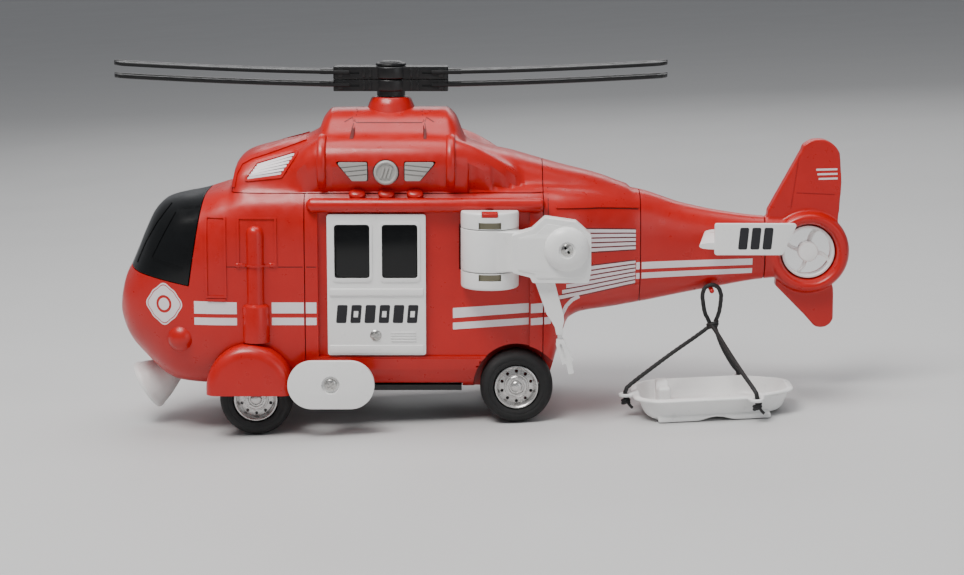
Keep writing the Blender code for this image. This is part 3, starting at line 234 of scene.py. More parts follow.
def shader(name, colour, rough, metallic=0, coat=0, grain=1400, bump=0.05, vary=0.05, patch=70,
           rough_vary=0.08, ior=1.5, transmission=0):
    """A moulded surface: broad tone changes, fine grain in the gloss and a little orange peel."""
    made = bpy.data.materials.new(name)
    made.use_nodes = True
    tree = made.node_tree

    def new(kind):
        return tree.nodes.new("ShaderNode" + kind)

    def fed(node, values, sources):
        for key, value in values.items():
            node.inputs[key].default_value = value
        for key, socket in sources.items():
            tree.links.new(socket, node.inputs[key])
        return node

    place = new("TexCoord").outputs["Object"]

    def noise(scale, detail):
        values = {"Scale": scale, "Detail": detail, "Roughness": 0.55}
        return fed(new("TexNoise"), values, {"Vector": place}).outputs["Fac"]

    def remap(value, low, high):
        values = {"From Min": 0.3, "From Max": 0.7, "To Min": low, "To Max": high}
        return fed(new("MapRange"), values, {"Value": value}).outputs["Result"]

    broad, fine, gloss = noise(patch, 3), noise(grain, 2), noise(patch * 4, 4)
    tone = fed(new("HueSaturation"), {"Color": (*colour, 1)}, {"Value": remap(broad, 1 - vary, 1 + vary)})
    speck = new("Mix")
    speck.data_type = "RGBA"
    speck.blend_type = "MULTIPLY"
    fed(speck, {"Factor": 1}, {"A": tone.outputs["Color"], "B": remap(fine, 1 - vary * 0.6, 1)})
    relief = fed(new("Bump"), {"Strength": bump, "Distance": 0.0003}, {"Height": fine})
    fed(tree.nodes["Principled BSDF"],
        {"Metallic": metallic, "Coat Weight": coat, "Coat Roughness": 0.12, "IOR": ior,
         "Transmission Weight": transmission},
        {"Base Color": speck.outputs["Result"],
         "Roughness": remap(gloss, rough - rough_vary, rough + rough_vary),
         "Normal": relief.outputs["Normal"]})
    return made


RED = shader("red_moulding", (0.50, 0.0045, 0.0025), 0.34, coat=0.08, bump=0.04, vary=0.05)
# painted shade: a dark red standing in for the shade inside the skin's engraved grooves, which are not cut
GROOVE_SHADE = shader("engraved_groove_shade", (0.12, 0.004, 0.003), 0.6, bump=0.05, vary=0.1)
WHITE = shader("white_moulding", (0.88, 0.88, 0.87), 0.34, coat=0.10, bump=0.05, vary=0.025)
BLACK = shader("black_moulding", (0.006, 0.006, 0.0065), 0.38, coat=0.04, bump=0.08, vary=0.15)
SMOKED = shader("smoked_glazing", (0.004, 0.0045, 0.005), 0.20, coat=0.1, bump=0.01, vary=0.2,
                rough_vary=0.04, ior=1.38)
GREY = shader("grey_moulding", (0.40, 0.39, 0.37), 0.42, bump=0.08, vary=0.05)
SILVER = shader("silver_coating", (0.62, 0.61, 0.60), 0.27, metallic=0.85, bump=0.06, vary=0.06)
RUBBER = shader("tyre_rubber", (0.008, 0.008, 0.0085), 0.68, bump=0.35, vary=0.25, grain=2200)
STEEL = shader("nickel_steel", (0.55, 0.54, 0.52), 0.28, metallic=1, bump=0.05, vary=0.08)
BRASS = shader("turned_brass", (0.70, 0.52, 0.25), 0.30, metallic=1, bump=0.05, vary=0.08)
CLEAR = shader("clear_lens", (0.90, 0.92, 0.95), 0.06, bump=0.01, vary=0.01, rough_vary=0.02,
               transmission=0.85, ior=1.49)
BOARD = shader("green_board", (0.02, 0.16, 0.06), 0.38, bump=0.10, vary=0.2, patch=300)
PRINT = shader("white_print", (0.80, 0.74, 0.76), 0.40, bump=0.06, vary=0.05)
INK = shader("black_print", (0.012, 0.012, 0.016), 0.45, bump=0.06, vary=0.2)
CORD = shader("black_cord", (0.014, 0.014, 0.015), 0.62, bump=0.5, vary=0.5, grain=1900, patch=900)
OLIVE = shader("olive_window", (0.22, 0.20, 0.13), 0.45, bump=0.06, vary=0.08)
FLOOR = shader("pale_floor", (0.58, 0.58, 0.58), 0.62, bump=0.02, vary=0.01, grain=300, patch=3)


# ---------------------------------------------------------------- mesh tools, in millimetres

def mesh_object(name, bm):
    bmesh.ops.recalc_face_normals(bm, faces=bm.faces)
    mesh = bpy.data.meshes.new(name)
    bm.to_mesh(mesh)
    bm.free()
    return linked(name, mesh)


def drop(*objs):
    for obj in objs:
        bpy.data.objects.remove(obj, do_unlink=True)


def baked(obj):
    """The object's modifiers applied, as a new object."""
    bpy.context.view_layer.update()
    graph = bpy.context.evaluated_depsgraph_get()
    mesh = bpy.data.meshes.new_from_object(obj.evaluated_get(graph), depsgraph=graph)
    bm = bmesh.new()
    bm.from_mesh(mesh)
    bmesh.ops.remove_doubles(bm, verts=bm.verts, dist=0.0005)
    gaps = [edge for edge in bm.edges if len(edge.link_faces) == 1]
    if gaps:
        bmesh.ops.holes_fill(bm, edges=gaps, sides=8)
    bpy.data.meshes.remove(mesh)
    drop(obj)
    return mesh_object("baked", bm)


def merged(objs):
    """Objects that don't touch, as one mesh."""
    bm = bmesh.new()
    for obj in objs:
        bm.from_mesh(obj.data)
    drop(*objs)
    return mesh_object("merged", bm)


def measure(obj):
    """Volume, and the number of edges that don't join exactly two faces."""
    bm = bmesh.new()
    bm.from_mesh(obj.data)
    found = bm.calc_volume(), sum(1 for edge in bm.edges if len(edge.link_faces) != 2)
    bm.free()
    return found


def boolean(obj, others, operation):
    """The exact solver, tried again with the other solid nudged if its answer is open or the wrong size."""
    other = merged(others)
    volume, already = measure(obj)
    extra = measure(other)[0]
    low, high = (volume - extra, volume) if operation == "DIFFERENCE" else (volume, volume + extra)
    best, best_score = None, None
    for attempt in range(4):
        trial = duplicate(obj)
        step = trial.modifiers.new("step", "BOOLEAN")
        step.operation = operation
        step.solver = "EXACT"
        step.use_self = attempt == 3
        step.object = other
        trial = baked(trial)
        size, loose = measure(trial)
        wrong_size = size < low - 0.3 or size > high + 0.3 or size == 0
        score = max(0, loose - already) + (100000 if wrong_size else 0)
        if best is None or score < best_score:
            if best is not None:
                drop(best)
            best, best_score = trial, score
        else:
            drop(trial)
        if best_score == 0:
            break
        moved(other, shift(0.0023 * (attempt + 1), 0.0017 * (attempt - 1.5), 0.0031))
    drop(obj, other)
    return best


def cut(obj, *others):
    return boolean(obj, others, "DIFFERENCE")


def join(obj, *others):
    for other in others:
        obj = boolean(obj, [other], "UNION")
    return obj


def soften(obj, width, segments, angle):
    bevel = obj.modifiers.new("bevel", "BEVEL")
    bevel.width = width
    bevel.segments = segments
    bevel.limit_method = "ANGLE"
    bevel.angle_limit = math.radians(angle)


def bevelled(obj, width, segments=3):
    soften(obj, width, segments, 35)
    return baked(obj)


def duplicate(obj):
    return linked("copy", obj.data.copy())


def moved(obj, matrix):
    obj.data.transform(matrix)
    if matrix.determinant() < 0:
        obj.data.flip_normals()
    return obj


MIRROR = Matrix.Scale(-1, 4, (0, 1, 0))


def both_sides(obj):
    return [obj, moved(duplicate(obj), MIRROR)]


def shift(x, y, z):
    return Matrix.Translation((x, y, z))


def turn(degrees, axis):
    return Matrix.Rotation(math.radians(degrees), 4, axis)


def stretch(factor):
    return Matrix.Scale(factor, 4, (1, 0, 0))


def box(low, high):
    bm = bmesh.new()
    bmesh.ops.create_cube(bm, size=1)
    for vert in bm.verts:
        vert.co = Vector([a + (b - a) * (c + 0.5) for a, b, c in zip(low, high, vert.co)])
    return mesh_object("box", bm)


def rod(start, end, radius, sides=48, end_radius=None):
    start, end = Vector(start), Vector(end)
    line = end - start
    place = shift(*((start + end) / 2)) @ line.to_track_quat("Z", "Y").to_matrix().to_4x4()
    bm = bmesh.new()
    far_radius = radius if end_radius is None else end_radius
    bmesh.ops.create_cone(bm, cap_ends=True, segments=sides, radius1=radius, radius2=far_radius,
                          depth=line.length, matrix=place)
    return mesh_object("rod", bm)


def loft(rings):
    """A solid through closed rings of as many points each, capped at both ends."""
    bm = bmesh.new()
    rows = [[bm.verts.new(point) for point in ring] for ring in rings]
    for near, far in zip(rows, rows[1:]):
        for i in range(len(near)):
            j = (i + 1) % len(near)
            bm.faces.new((near[i], near[j], far[j], far[i]))
    bm.faces.new(rows[0])
    bm.faces.new(rows[-1])
    return mesh_object("loft", bm)


def lathe(profile, steps=64):
    """Turn (radius, height) points about Z. A profile that starts and ends on the axis is closed there."""
    on_axis = profile[0][0] == 0
    body = profile[1:-1] if on_axis else profile
    bm = bmesh.new()
    rows = []
    for i in range(steps):
        angle = 2 * math.pi * i / steps
        rows.append([bm.verts.new((radius * math.cos(angle), radius * math.sin(angle), height))
                     for radius, height in body])
    count = len(body)
    for i in range(steps):
        near, far = rows[i], rows[(i + 1) % steps]
        for k in range(count - 1 if on_axis else count):
            m = (k + 1) % count
            bm.faces.new((near[k], near[m], far[m], far[k]))
    if on_axis:
        for height, k in ((profile[0][1], 0), (profile[-1][1], count - 1)):
            tip = bm.verts.new((0, 0, height))
            for i in range(steps):
                bm.faces.new((tip, rows[i][k], rows[(i + 1) % steps][k]))
    return mesh_object("lathe", bm)


def slab(outlines, low, high, facing="Z"):
    """Extrude flat outlines: (x, y) along Z, or (x, z) along Y. Later outlines are holes in the first."""
    curve = bpy.data.curves.new("slab", "CURVE")
    curve.dimensions = "2D"
    curve.fill_mode = "BOTH"
    curve.extrude = (high - low) / 2
    for outline in outlines:
        spline = curve.splines.new("POLY")
        spline.points.add(len(outline) - 1)
        spline.use_cyclic_u = True
        for point, (u, v) in zip(spline.points, outline):
            point.co = (u, v, 0, 1)
    solid = baked(linked("slab", curve))
    middle = (low + high) / 2
    if facing == "Y":
        return moved(solid, shift(0, middle, 0) @ turn(90, "X"))
    return moved(solid, shift(0, 0, middle))


def arc(centre, radius, start, end, count):
    angles = [math.radians(start + (end - start) * i / (count - 1)) for i in range(count)]
    return [(centre[0] + radius * math.cos(a), centre[1] + radius * math.sin(a)) for a in angles]


def circle(centre, radius, count=48):
    return arc(centre, radius, 0, 360 * (count - 1) / count, count)


def round_corners(corners, radius, count=6):
    outline = []
    for i, corner in enumerate(corners):
        here = Vector(corner)
        back = (Vector(corners[i - 1]) - here).normalized()
        ahead = (Vector(corners[(i + 1) % len(corners)]) - here).normalized()
        reach = radius / math.tan(back.angle(ahead) / 2)
        start, end = here + back * reach, here + ahead * reach
        for k in range(count):
            t = k / (count - 1)
            outline.append(tuple(start * (1 - t) ** 2 + here * 2 * t * (1 - t) + end * t ** 2))
    return outline


def rectangle(low, high, radius=0):
    corners = [(low[0], low[1]), (high[0], low[1]), (high[0], high[1]), (low[0], high[1])]
    return round_corners(corners, radius) if radius else corners


# ---------------------------------------------------------------- finished pieces

def piece(obj, name, look, body, replaces=(), slot=None, place=TO_ROW, bevel=0, sharp=38):
    """Name a finished solid, set it on the row frame and let it ride on a body."""
    moved(obj, place)
    obj.name = name
    obj.data.name = name
    obj.data.materials.clear()
    obj.data.materials.append(look)
    if bevel:
        soften(obj, bevel * MM, 2, 32)
    obj.data.shade_smooth()
    obj.data.set_sharp_from_angle(angle=math.radians(sharp))
    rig.ride(obj, body)
    if replaces:
        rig.replaces(obj, *replaces)
    if slot:
        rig.slot(obj, slot)
    return obj


def dress(node, look, bevel=0):
    """A CAD node whose shape is right gets its finish and softer edges."""
    obj = NODES[node]
    for entry in obj.material_slots:
        entry.material = look
    if bevel:
        soften(obj, bevel * MM, 2, 32)


# ---------------------------------------------------------------- the body's skin

# x, top, bottom, half width, squareness of the hull's sections
HULL = [
    (-100.5, -5.7, -6.3, 0.5, 2), (-100.4, -3.5, -8.5, 4, 2), (-99.6, 1.5, -11.5, 9, 2.1),
    (-98.2, 6.5, -15, 13.5, 2.2), (-96, 10.8, -18.8, 17.5, 2.3), (-93, 17.5, -22.3, 20.8, 2.4),
    (-90, 24.4, -25.3, 23.2, 2.5), (-86.5, 31, -28.6, 25.2, 2.7), (-83, 34, -31.2, 26.8, 2.9),
    (-78, 35.4, -33, 28.4, 3.2), (-70, 36.7, -33.4, 29.8, 3.7), (-60, 39.4, -33.4, 30.8, 4.4),
    (-48, 41.2, -33.4, 31, 6), (50, 41.1, -33.3, 30.8, 6), (57, 40.8, -31.2, 30, 5),
    (61, 40.5, -20, 29.3, 4.5), (65, 40.1, -9, 28.2, 3.9), (70, 39.8, -6.9, 26, 3.6),
    (80, 38.7, -6.2, 20, 3.1), (91.6, 37, -4.7, 13.6, 2.8), (107.4, 32, -1.7, 10.6, 2.6),
    (122.5, 28.9, 1.1, 8.6, 2.5), (136, 27.2, 3.4, 7.2, 2.5), (150, 26.6, 4.6, 6.2, 2.5),
]
# x, top, base, half width, squareness of the engine cowl, which sits on the hull
COWL = [
    (-58.3, 37.5, 36, 19.5, 2.6), (-57.4, 43, 37, 20.5, 2.6), (-56, 48.4, 37, 22.6, 2.8),
    (-52.4, 51.6, 37, 23.8, 2.8), (-42, 54.8, 37.5, 24.6, 2.7), (-26.4, 59.9, 38, 25, 2.5),
    (-24.4, 64.4, 38, 25, 2.3), (-21, 67.5, 38, 25, 2.2), (20, 67.8, 38, 25, 2.2),
    (23.4, 65.2, 38, 24.6, 2.3), (27.6, 56.3, 38, 23.2, 2.6), (45.8, 51, 37.5, 18.6, 2.8),
    (62.3, 46.4, 36.5, 14.4, 2.7), (77.1, 42.6, 35, 10.6, 2.6), (88, 38.2, 33, 8, 2.5),
]
# x, radius, distance from the middle plane and height of the barrel-shaped engine casings
NACELLE = [
    (-38.8, 0.2, 19.6, 44.6), (-38.2, 1.2, 19.8, 44.8), (-36.5, 3, 20.1, 45.5), (-34, 4.9, 20.3, 46.4),
    (-30, 7.4, 20.5, 48), (-24, 9.2, 20.6, 49.2), (-12, 9.7, 20.6, 49.2), (6, 9.7, 20.6, 49.2),
    (22.2, 9.1, 20.6, 49.2), (29, 7.9, 20.1, 48.4), (35, 6.4, 19.3, 47), (41, 4.4, 18.3, 45.2),
    (45.6, 2.2, 17.5, 43.9), (47.2, 0.6, 17.2, 43.5), (47.6, 0.2, 17.1, 43.4),
]
CASING = (20.6, 49.2)
FRONT_AXLE = (-48.6, -35.7)
REAR_AXLE = (45.9, -31.1)
RECESS = ((-25.6, 50.6), (-20, 32.5), 29)
DOOR_SCREW = (-4.9, -12.1)
WELL_R, WELL_Y = 15.6, 18.6  # a wheel well's radius, and how far its inner wall is from the middle plane
RAIL_START, RAIL_END = (-27, -30.2, 35.2), (53.6, -30.2, 35.2)
WINCH = (36.2, -31.6)
ARM_Z = (12.4, 27.6)
EYES_Z = (29.2, 10.6)
DROP_PIVOT = (54.2, 15.8)
HOOK_PIVOT = (60.9, -7.9)
HOOD = (-50.3, -30.6)
FOOT_SCREW = (-20.8, -28.3)
FAN = (154.4, 14)
BELLY_SCREWS = [(-62, -10.5), (-62, 10.5), (-25, -22), (-25, 22), (22, 22), (22, -22),
                (-18.9, 0)]
SHOULDER_Z = 39.1
COWL_FRONT = -56.6
HALF_WIDTH = 31
AHEAD, BEHIND = (-1, 0, 0), (1, 0, 0)  # which side of a cut is kept


def through(rows):
    """A smooth curve through a table's rows that never overshoots them (Fritsch-Carlson)."""
    data = np.array(rows, dtype=float)
    xs, ys = data[:, 0], data[:, 1:]
    width = np.diff(xs)[:, None]
    slope = np.diff(ys, axis=0) / width
    tangent = np.zeros_like(ys)
    tangent[0], tangent[-1] = slope[0], slope[-1]
    before, after = slope[:-1], slope[1:]
    w1 = 2 * width[1:] + width[:-1]
    w2 = width[1:] + 2 * width[:-1]
    same = before * after > 0
    safe_before = np.where(same, before, 1)
    safe_after = np.where(same, after, 1)
    tangent[1:-1] = np.where(same, (w1 + w2) / (w1 / safe_before + w2 / safe_after), 0)

    def at(x):
        k = np.clip(np.searchsorted(xs, x, side="right") - 1, 0, len(xs) - 2)
        h = width[k]
        t = np.clip((x - xs[k])[:, None] / h, 0, 1)
        return (ys[k] * (2 * t ** 3 - 3 * t ** 2 + 1) + tangent[k] * h * (t ** 3 - 2 * t ** 2 + t)
                + ys[k + 1] * (3 * t ** 2 - 2 * t ** 3) + tangent[k + 1] * h * (t ** 3 - t ** 2))
    return at


def stations():
    spans = [(-100.5, -98, 0.3), (-98, -90, 0.7), (-90, -59, 1.3), (-59, -50, 0.5),
             (-50, -27.6, 1.3), (-27.6, -19.6, 0.5), (-19.6, 18.4, 2), (18.4, 30, 0.6), (30, 54, 0.8),
             (54, 74, 0.9), (74, 95, 1.6), (95, 150, 2.4)]
    coarse = 2 if QUICK else 1
    xs = []
    for start, end, step in spans:
        count = max(2, round((end - start) / (step * coarse)))
        xs += [start + (end - start) * i / count for i in range(count)]
    return np.array(xs + [150])


def superellipse(y, z, half, high, square):
    """About the distance outside a squared ellipse, measured towards its centre."""
    reach = np.hypot(y, z) + 1e-6
    level = (np.abs(y / half) ** square + np.abs(z / high) ** square) ** (1 / square) + 1e-9
    return reach * (1 - 1 / level)


def blended(a, b, radius):
    """The nearer of two surfaces, with a fillet where they meet."""
    near = np.maximum(radius - np.abs(a - b), 0) / radius
    return np.minimum(a, b) - near * near * radius * 0.25


def outer_surface():
    """The hull, cowl and engine casings as one skin with fillets, sampled by rays from the middle line."""
    xs = stations()
    around = 72 if QUICK else 144
    angles = 2 * np.pi * (np.arange(around) + 0.5) / around
    hull = through(HULL)(xs)
    cowl = through(COWL)(xs)
    casing = through(NACELLE)(xs)
    middle = (hull[:, 0] + hull[:, 1]) / 2

    def field(y, z):
        shape = (-1,) + (1,) * (y.ndim - 1)
        top, low, half, square = [hull[:, k].reshape(shape) for k in range(4)]
        body = superellipse(y, z - (top + low) / 2, half, (top - low) / 2, square)
        top, base, half, square = [cowl[:, k].reshape(shape) for k in range(4)]
        roof = superellipse(y, z - base, half, np.maximum(top - base, 0.5), square)
        outside = ((xs < COWL[0][0]) | (xs > COWL[-1][0])).reshape(shape)
        roof = np.where(outside, 99, roof)
        radius, out, up = [casing[:, k].reshape(shape) for k in range(3)]
        side = np.hypot(np.abs(y) - out, z - up) - radius
        outside = ((xs < NACELLE[0][0]) | (xs > NACELLE[-1][0])).reshape(shape)
        side = np.where(outside, 99, side)
        return blended(blended(body, roof, 3.2), side, 3)

    reach = np.arange(66, 0, -0.5)
    far = np.zeros((len(xs), around))
    found = np.zeros((len(xs), around), dtype=bool)
    previous = None
    cosines, sines = np.cos(angles)[None, :], np.sin(angles)[None, :]
    centre = middle[:, None]
    for t in reach:
        value = field(t * cosines, centre + t * sines)
        hit = (value < 0) & ~found
        if previous is not None:
            part = value / (value - previous + 1e-12)
            far = np.where(hit, t + 0.5 * part, far)
        found |= hit
        previous = value
    far = np.where(found, far, 0.3)
    rings = []
    for x, z, row in zip(xs, middle, far):
        rings.append([(x, r * math.cos(a), z + r * math.sin(a)) for r, a in zip(row, angles)])
    return loft(rings)


def inwards(x):
    """Which way along x the inside of the shell lies: back at the nose, forward where the body falls away."""
    return WALL if x < 10 or 90 < x else -WALL


def hoops():
    """The raised bands around the port engine casing."""
    profile = [(0, -1.6), (9.6, -1.6), (10.2, -1.2), (10.5, -0.5), (10.5, 0.5), (10.2, 1.2), (9.6, 1.6),
               (0, 1.6)]
    out, up = CASING
    return [moved(lathe(profile, 48), shift(x, -out, up) @ turn(90, "Y")) for x in (-24, 22.2)]


def capsule(start, end, radius, sides=28):
    start, line = Vector(start), Vector(end) - Vector(start)
    profile = [(0, -radius)]
    for degrees in (-70, -50, -30, -10, 10, 30, 50, 70):
        angle = math.radians(degrees)
        along = radius * math.sin(angle)
        profile.append((radius * math.cos(angle), along if degrees < 0 else line.length + along))
    profile.append((0, line.length + radius))
    way = line.to_track_quat("Z", "Y").to_matrix().to_4x4()
    return moved(lathe(profile, sides), shift(*start) @ way)


def legs():
    profile = [(0, -14.4), (4.9, -14.4), (4.9, -1.9), (4.6, -1.2), (3.3, -0.6), (3.2, 0.2), (3.2, 24.8),
               (3, 26), (2.3, 27.1), (1.2, 27.7), (0, 27.8)]
    return moved(lathe(profile, 40), shift(-48, -30.3, 0))


def blister():
    profile = [(0, -6), (5.4, -6), (5.3, -1.6), (5, -0.2), (4.3, 1.1), (3.1, 2.2), (1.6, 2.9), (0, 3.1)]
    return moved(lathe(profile, 40), shift(-75.9, -27.6, -13.7) @ turn(-12, "Z") @ turn(90, "X"))


def wheel_space(centre, radius, inner):
    x, z = centre
    return rod((x, -45, z), (x, -inner, z), radius, 24 if QUICK else 64)


def section(x, low, high, half, square, count):
    points = []
    for i in range(count):
        angle = 2 * math.pi * (i + 0.5) / count
        across = math.copysign(abs(math.cos(angle)) ** (2 / square), math.cos(angle))
        upward = math.copysign(abs(math.sin(angle)) ** (2 / square), math.sin(angle))
        points.append((x, half * across, (high + low) / 2 + (high - low) / 2 * upward))
    return points


def hollow():
    """The inside of the shell, without the wheel wells and the backing of the door recess."""
    rows = [section(x + inwards(x), low + WALL, top - WALL, half - WALL, square, 16)
            for x, top, low, half, square in HULL[3:]]
    roof = [section(x + inwards(x), 2 * base - top + WALL, top - WALL, half - WALL, square, 12)
            for x, top, base, half, square in COWL[2:-1]]
    inside = join(loft(rows), loft(roof))
    for centre in (FRONT_AXLE, REAR_AXLE):
        inside = cut(inside, *both_sides(wheel_space(centre, WELL_R + WALL, WELL_Y - WALL)))
    (x0, x1), (z0, z1), y = RECESS
    return cut(inside, *both_sides(box((x0 - WALL, -HALF_WIDTH, z0 - WALL),
                                       (x1 + WALL, -y + WALL, z1 + WALL))))


def base_opening(grow):
    low, high = -36.4, -30.4
    return join(box((-68 - grow, -14 - grow, low), (54.2 + grow, 14 + grow, high)),
                box((-29 - grow, -26 - grow, low), (26 + grow, 26 + grow, high)))


def button_shapes(g):
    ahead = round_corners([(-18.6 - 2.14 * g, 50.6 + g), (-7.6 + g, 50.6 + g), (-7.6 + g, 43.9 - g),
                           (-13 - 0.47 * g, 43.9 - g)], 0.7, 4)
    disc = circle((-0.9, 46.9), 4.4 + g, 40)
    return {"sound_button_front": ahead, "sound_button_middle": disc,
            "sound_button_rear": [(-1.8 - x, z) for x, z in reversed(ahead)]}


def openings():
    """Everything cut through the skin apart from the arches and the recess."""
    x, z = DOOR_SCREW
    wx, wy = WINCH
    made = [rod((0, 0, 55), (0, 0, 80), 2.7, 32),
            rod((-89.06, 0, -35.26), (-78.74, 0, -29.13), 9.1, 40, 3.23), base_opening(GAP)]
    made += [box((x - 1.9, -40, z - 1.8), (x + 13.9, -25, z + 1.8)),
             box((x - 1.9, 25, z - 1.8), (x + 27.9, 40, z + 1.8)),
             box((wx - 11, wy - 5, ARM_Z[0] - 0.7), (wx + 2.2, wy + 11, ARM_Z[1] + 0.7))]
    made += [slab([shape], -40, -16, "Y") for shape in button_shapes(GAP).values()]
    return made


def skin_solid():
    """The outside with everything raised on it, still solid."""
    collar = lathe([(0, 60), (10.6, 60), (10.2, 63), (8.2, 68.9), (7.3, 70.9), (6.7, 71.4), (0, 71.5)], 48)
    extras = []
    for shape in (legs(), blister(), capsule(RAIL_START, RAIL_END, 2.6), *hoops()):
        extras += both_sides(shape)
    return boolean(outer_surface(), extras + [collar], "UNION")


def ribbon(points, width):
    """The outline of a line of even width through points."""
    left, right = [], []
    for i, point in enumerate(points):
        here = Vector(point)
        ahead = (Vector(points[min(i + 1, len(points) - 1)]) - Vector(points[max(i - 1, 0)])).normalized()
        across = Vector((-ahead.y, ahead.x)) * width / 2
        left.append(tuple(here + across))
        right.append(tuple(here - across))
    return left + right[::-1]


def flat_grid(outlines, step):
    """Flat faces inside outlines (later ones are holes), divided along a square grid."""
    sheet = slab(outlines, -0.05, 0.05)
    bm = bmesh.new()
    bm.from_mesh(sheet.data)
    drop(sheet)
    bmesh.ops.delete(bm, geom=[face for face in bm.faces if face.normal.z < 0.5], context="FACES")
    for axis in (0, 1):
        values = [vert.co[axis] for vert in bm.verts]
        way = Vector((1, 0, 0)) if axis == 0 else Vector((0, 1, 0))
        at = math.ceil(min(values) / step) * step
        while at < max(values):
            bmesh.ops.bisect_plane(bm, geom=bm.verts[:] + bm.edges[:] + bm.faces[:], dist=0.0001,
                                   plane_co=way * at, plane_no=way)
            at += step
    return bm


def draped(surface, outlines, lift, depth=0.25, step=1.6):
    """A sheet with the given side-view outlines, laid on the port side and closed below the skin."""
    flat = flat_grid(outlines, step * (2 if QUICK else 1))
    bm = bmesh.new()
    over, under = {}, {}
    for vert in flat.verts:
        start = Vector((vert.co.x, -70, vert.co.y))
        hit, normal, _, _ = surface.ray_cast(start, Vector((0, 1, 0)))
        if hit is None:
            hit, normal, _, _ = surface.find_nearest(Vector((vert.co.x, -28, vert.co.y)))
        if normal.y > 0:
            normal = -normal
        over[vert] = bm.verts.new(hit + normal * lift)
        under[vert] = bm.verts.new(hit - normal * depth)
    for face in flat.faces:
        bm.faces.new([over[vert] for vert in face.verts])
        bm.faces.new([under[vert] for vert in reversed(face.verts)])
    for edge in flat.edges:
        if len(edge.link_faces) == 1:
            a, b = edge.verts
            bm.faces.new((over[a], over[b], under[b], under[a]))
    flat.free()
    return mesh_object("draped", bm)


# Engraved lines of the skin, seen from the side; each is drawn as a thin sheet of painted shade on the skin, not cut
# as a groove
PANEL_LINES = [
    [(-58.4, 12.9), (-54.6, 12.9)], [(-39.9, 12.9), (-30.9, 12.9)], [(-29.8, 12.9), (-26, 12.9)],
    [(-14.3, 69), (-11.9, 66.7), (-12.8, 63.7), (-12, 63.2), (11.6, 63.2), (12.4, 63.7), (11.5, 66.7),
     (13.9, 69)],
    [(-16.4, 63.4), (-13.6, 64.9), (-13.1, 62.9), (-13.6, 60.4)],
    [(16, 63.4), (13.2, 64.9), (12.7, 62.9), (13.2, 60.4)],
    [(60.4, 33.6), (75, 32.8), (90.6, 31.2)], [(57.2, 40.2), (57.2, 31)],
]


def tree_of(obj):
    bm = bmesh.new()
    bm.from_mesh(obj.data)
    tree = BVHTree.FromBMesh(bm)
    bm.free()
    return tree


def half_space(obj, point, normal):
    """What lies ahead of a plane, with the cut closed."""
    bm = bmesh.new()
    bm.from_mesh(obj.data)
    found = bmesh.ops.bisect_plane(bm, geom=bm.verts[:] + bm.edges[:] + bm.faces[:], dist=0.0005,
                                   plane_co=point, plane_no=normal, clear_inner=True)
    rim = [item for item in found["geom_cut"] if isinstance(item, bmesh.types.BMEdge)]
    if rim:
        bmesh.ops.triangle_fill(bm, use_beauty=True, use_dissolve=False, edges=rim)
    drop(obj)
    return mesh_object("part", bm)


def part_of(source, *planes):
    piece_of = duplicate(source)
    for point, normal in planes:
        piece_of = half_space(piece_of, point, normal)
    return piece_of


def body():
    """The skin, hollowed, opened and parted into its mouldings."""
    outside = skin_solid()
    stub = part_of(outside, ((138, 0, 0), BEHIND), ((146.2, 0, 0), AHEAD))
    skin = cut(outside, hollow())
    for centre in (FRONT_AXLE, REAR_AXLE):
        skin = cut(skin, *both_sides(wheel_space(centre, WELL_R, WELL_Y)))
    (x0, x1), (z0, z1), y = RECESS
    skin = cut(skin, *both_sides(box((x0, -45, z0), (x1, -y, z1))))
    surface = tree_of(skin)
    skin = cut(skin, *openings())

    def moulding(obj, name, node):
        piece(obj, name, RED, "airframe", [node], "red_plastic", bevel=0.3)

    windscreen = part_of(skin, ((-67.4, 0, 38.6), Vector((-32.7, 0, 5.2)).normalized()),
                         ((-72.6, 0, 5.9), Vector((6.5, 0, 32.4)).normalized()))
    piece(windscreen, "windscreen_pane", SMOKED, "airframe", ["windscreen"], "smoked_plastic", bevel=0.25)

    g = GAP + 0.1
    wedge = slab([[(-105, 12.4 - g), (-72.6 + g, 5.9 - g), (-67.4 + g, 38.6), (-67 + g, 50), (-105, 50)]],
                 -40, 40, "Y")
    above = box((COWL_FRONT - GAP, -60, SHOULDER_Z - GAP), (-20, 60, 100))
    nose = cut(part_of(skin, ((-30.5, 0, 0), AHEAD)), join(wedge, above))
    moulding(nose, "nose_moulding", "nose_shell")

    lower = part_of(skin, ((-30.2, 0, 0), BEHIND), ((55.3, 0, 0), AHEAD),
                    ((0, 0, SHOULDER_Z - GAP), (0, 0, -1)))
    for name, way in (("port", -1), ("starboard", 1)):
        half = part_of(lower, ((0, way * 0.15, 0), (0, way, 0)))
        moulding(half, "cabin_side_" + name, "cabin_" + name)
    drop(lower)
    top = part_of(skin, ((COWL_FRONT, 0, 0), BEHIND), ((55.3, 0, 0), AHEAD),
                  ((0, 0, SHOULDER_Z), (0, 0, 1)))
    moulding(top, "cowl_moulding", "engine_cowl")
    moulding(part_of(skin, ((55.6, 0, 0), BEHIND), ((91.3, 0, 0), AHEAD)), "rear_moulding", "rear_fuselage")
    boom = part_of(skin, ((91.6, 0, 0), BEHIND), ((137.7, 0, 0), AHEAD))
    moulding(join(boom, capsule((118.3, -2, 0.5), (118.3, -9.2, 0.3), 0.9)), "boom_moulding", "tail_boom")
    drop(skin)
    return surface, stub


def sided(make, name, look, body, node=None, slot=None, **extra):
    """A piece on each side: made for port and mirrored for starboard."""
    for side in ("port", "starboard"):
        obj = make()
        if side == "starboard":
            moved(obj, MIRROR)
        replaces = [node + "_" + side] if node else ()
        piece(obj, name + "_" + side, look, body.replace("SIDE", side), replaces, slot, **extra)


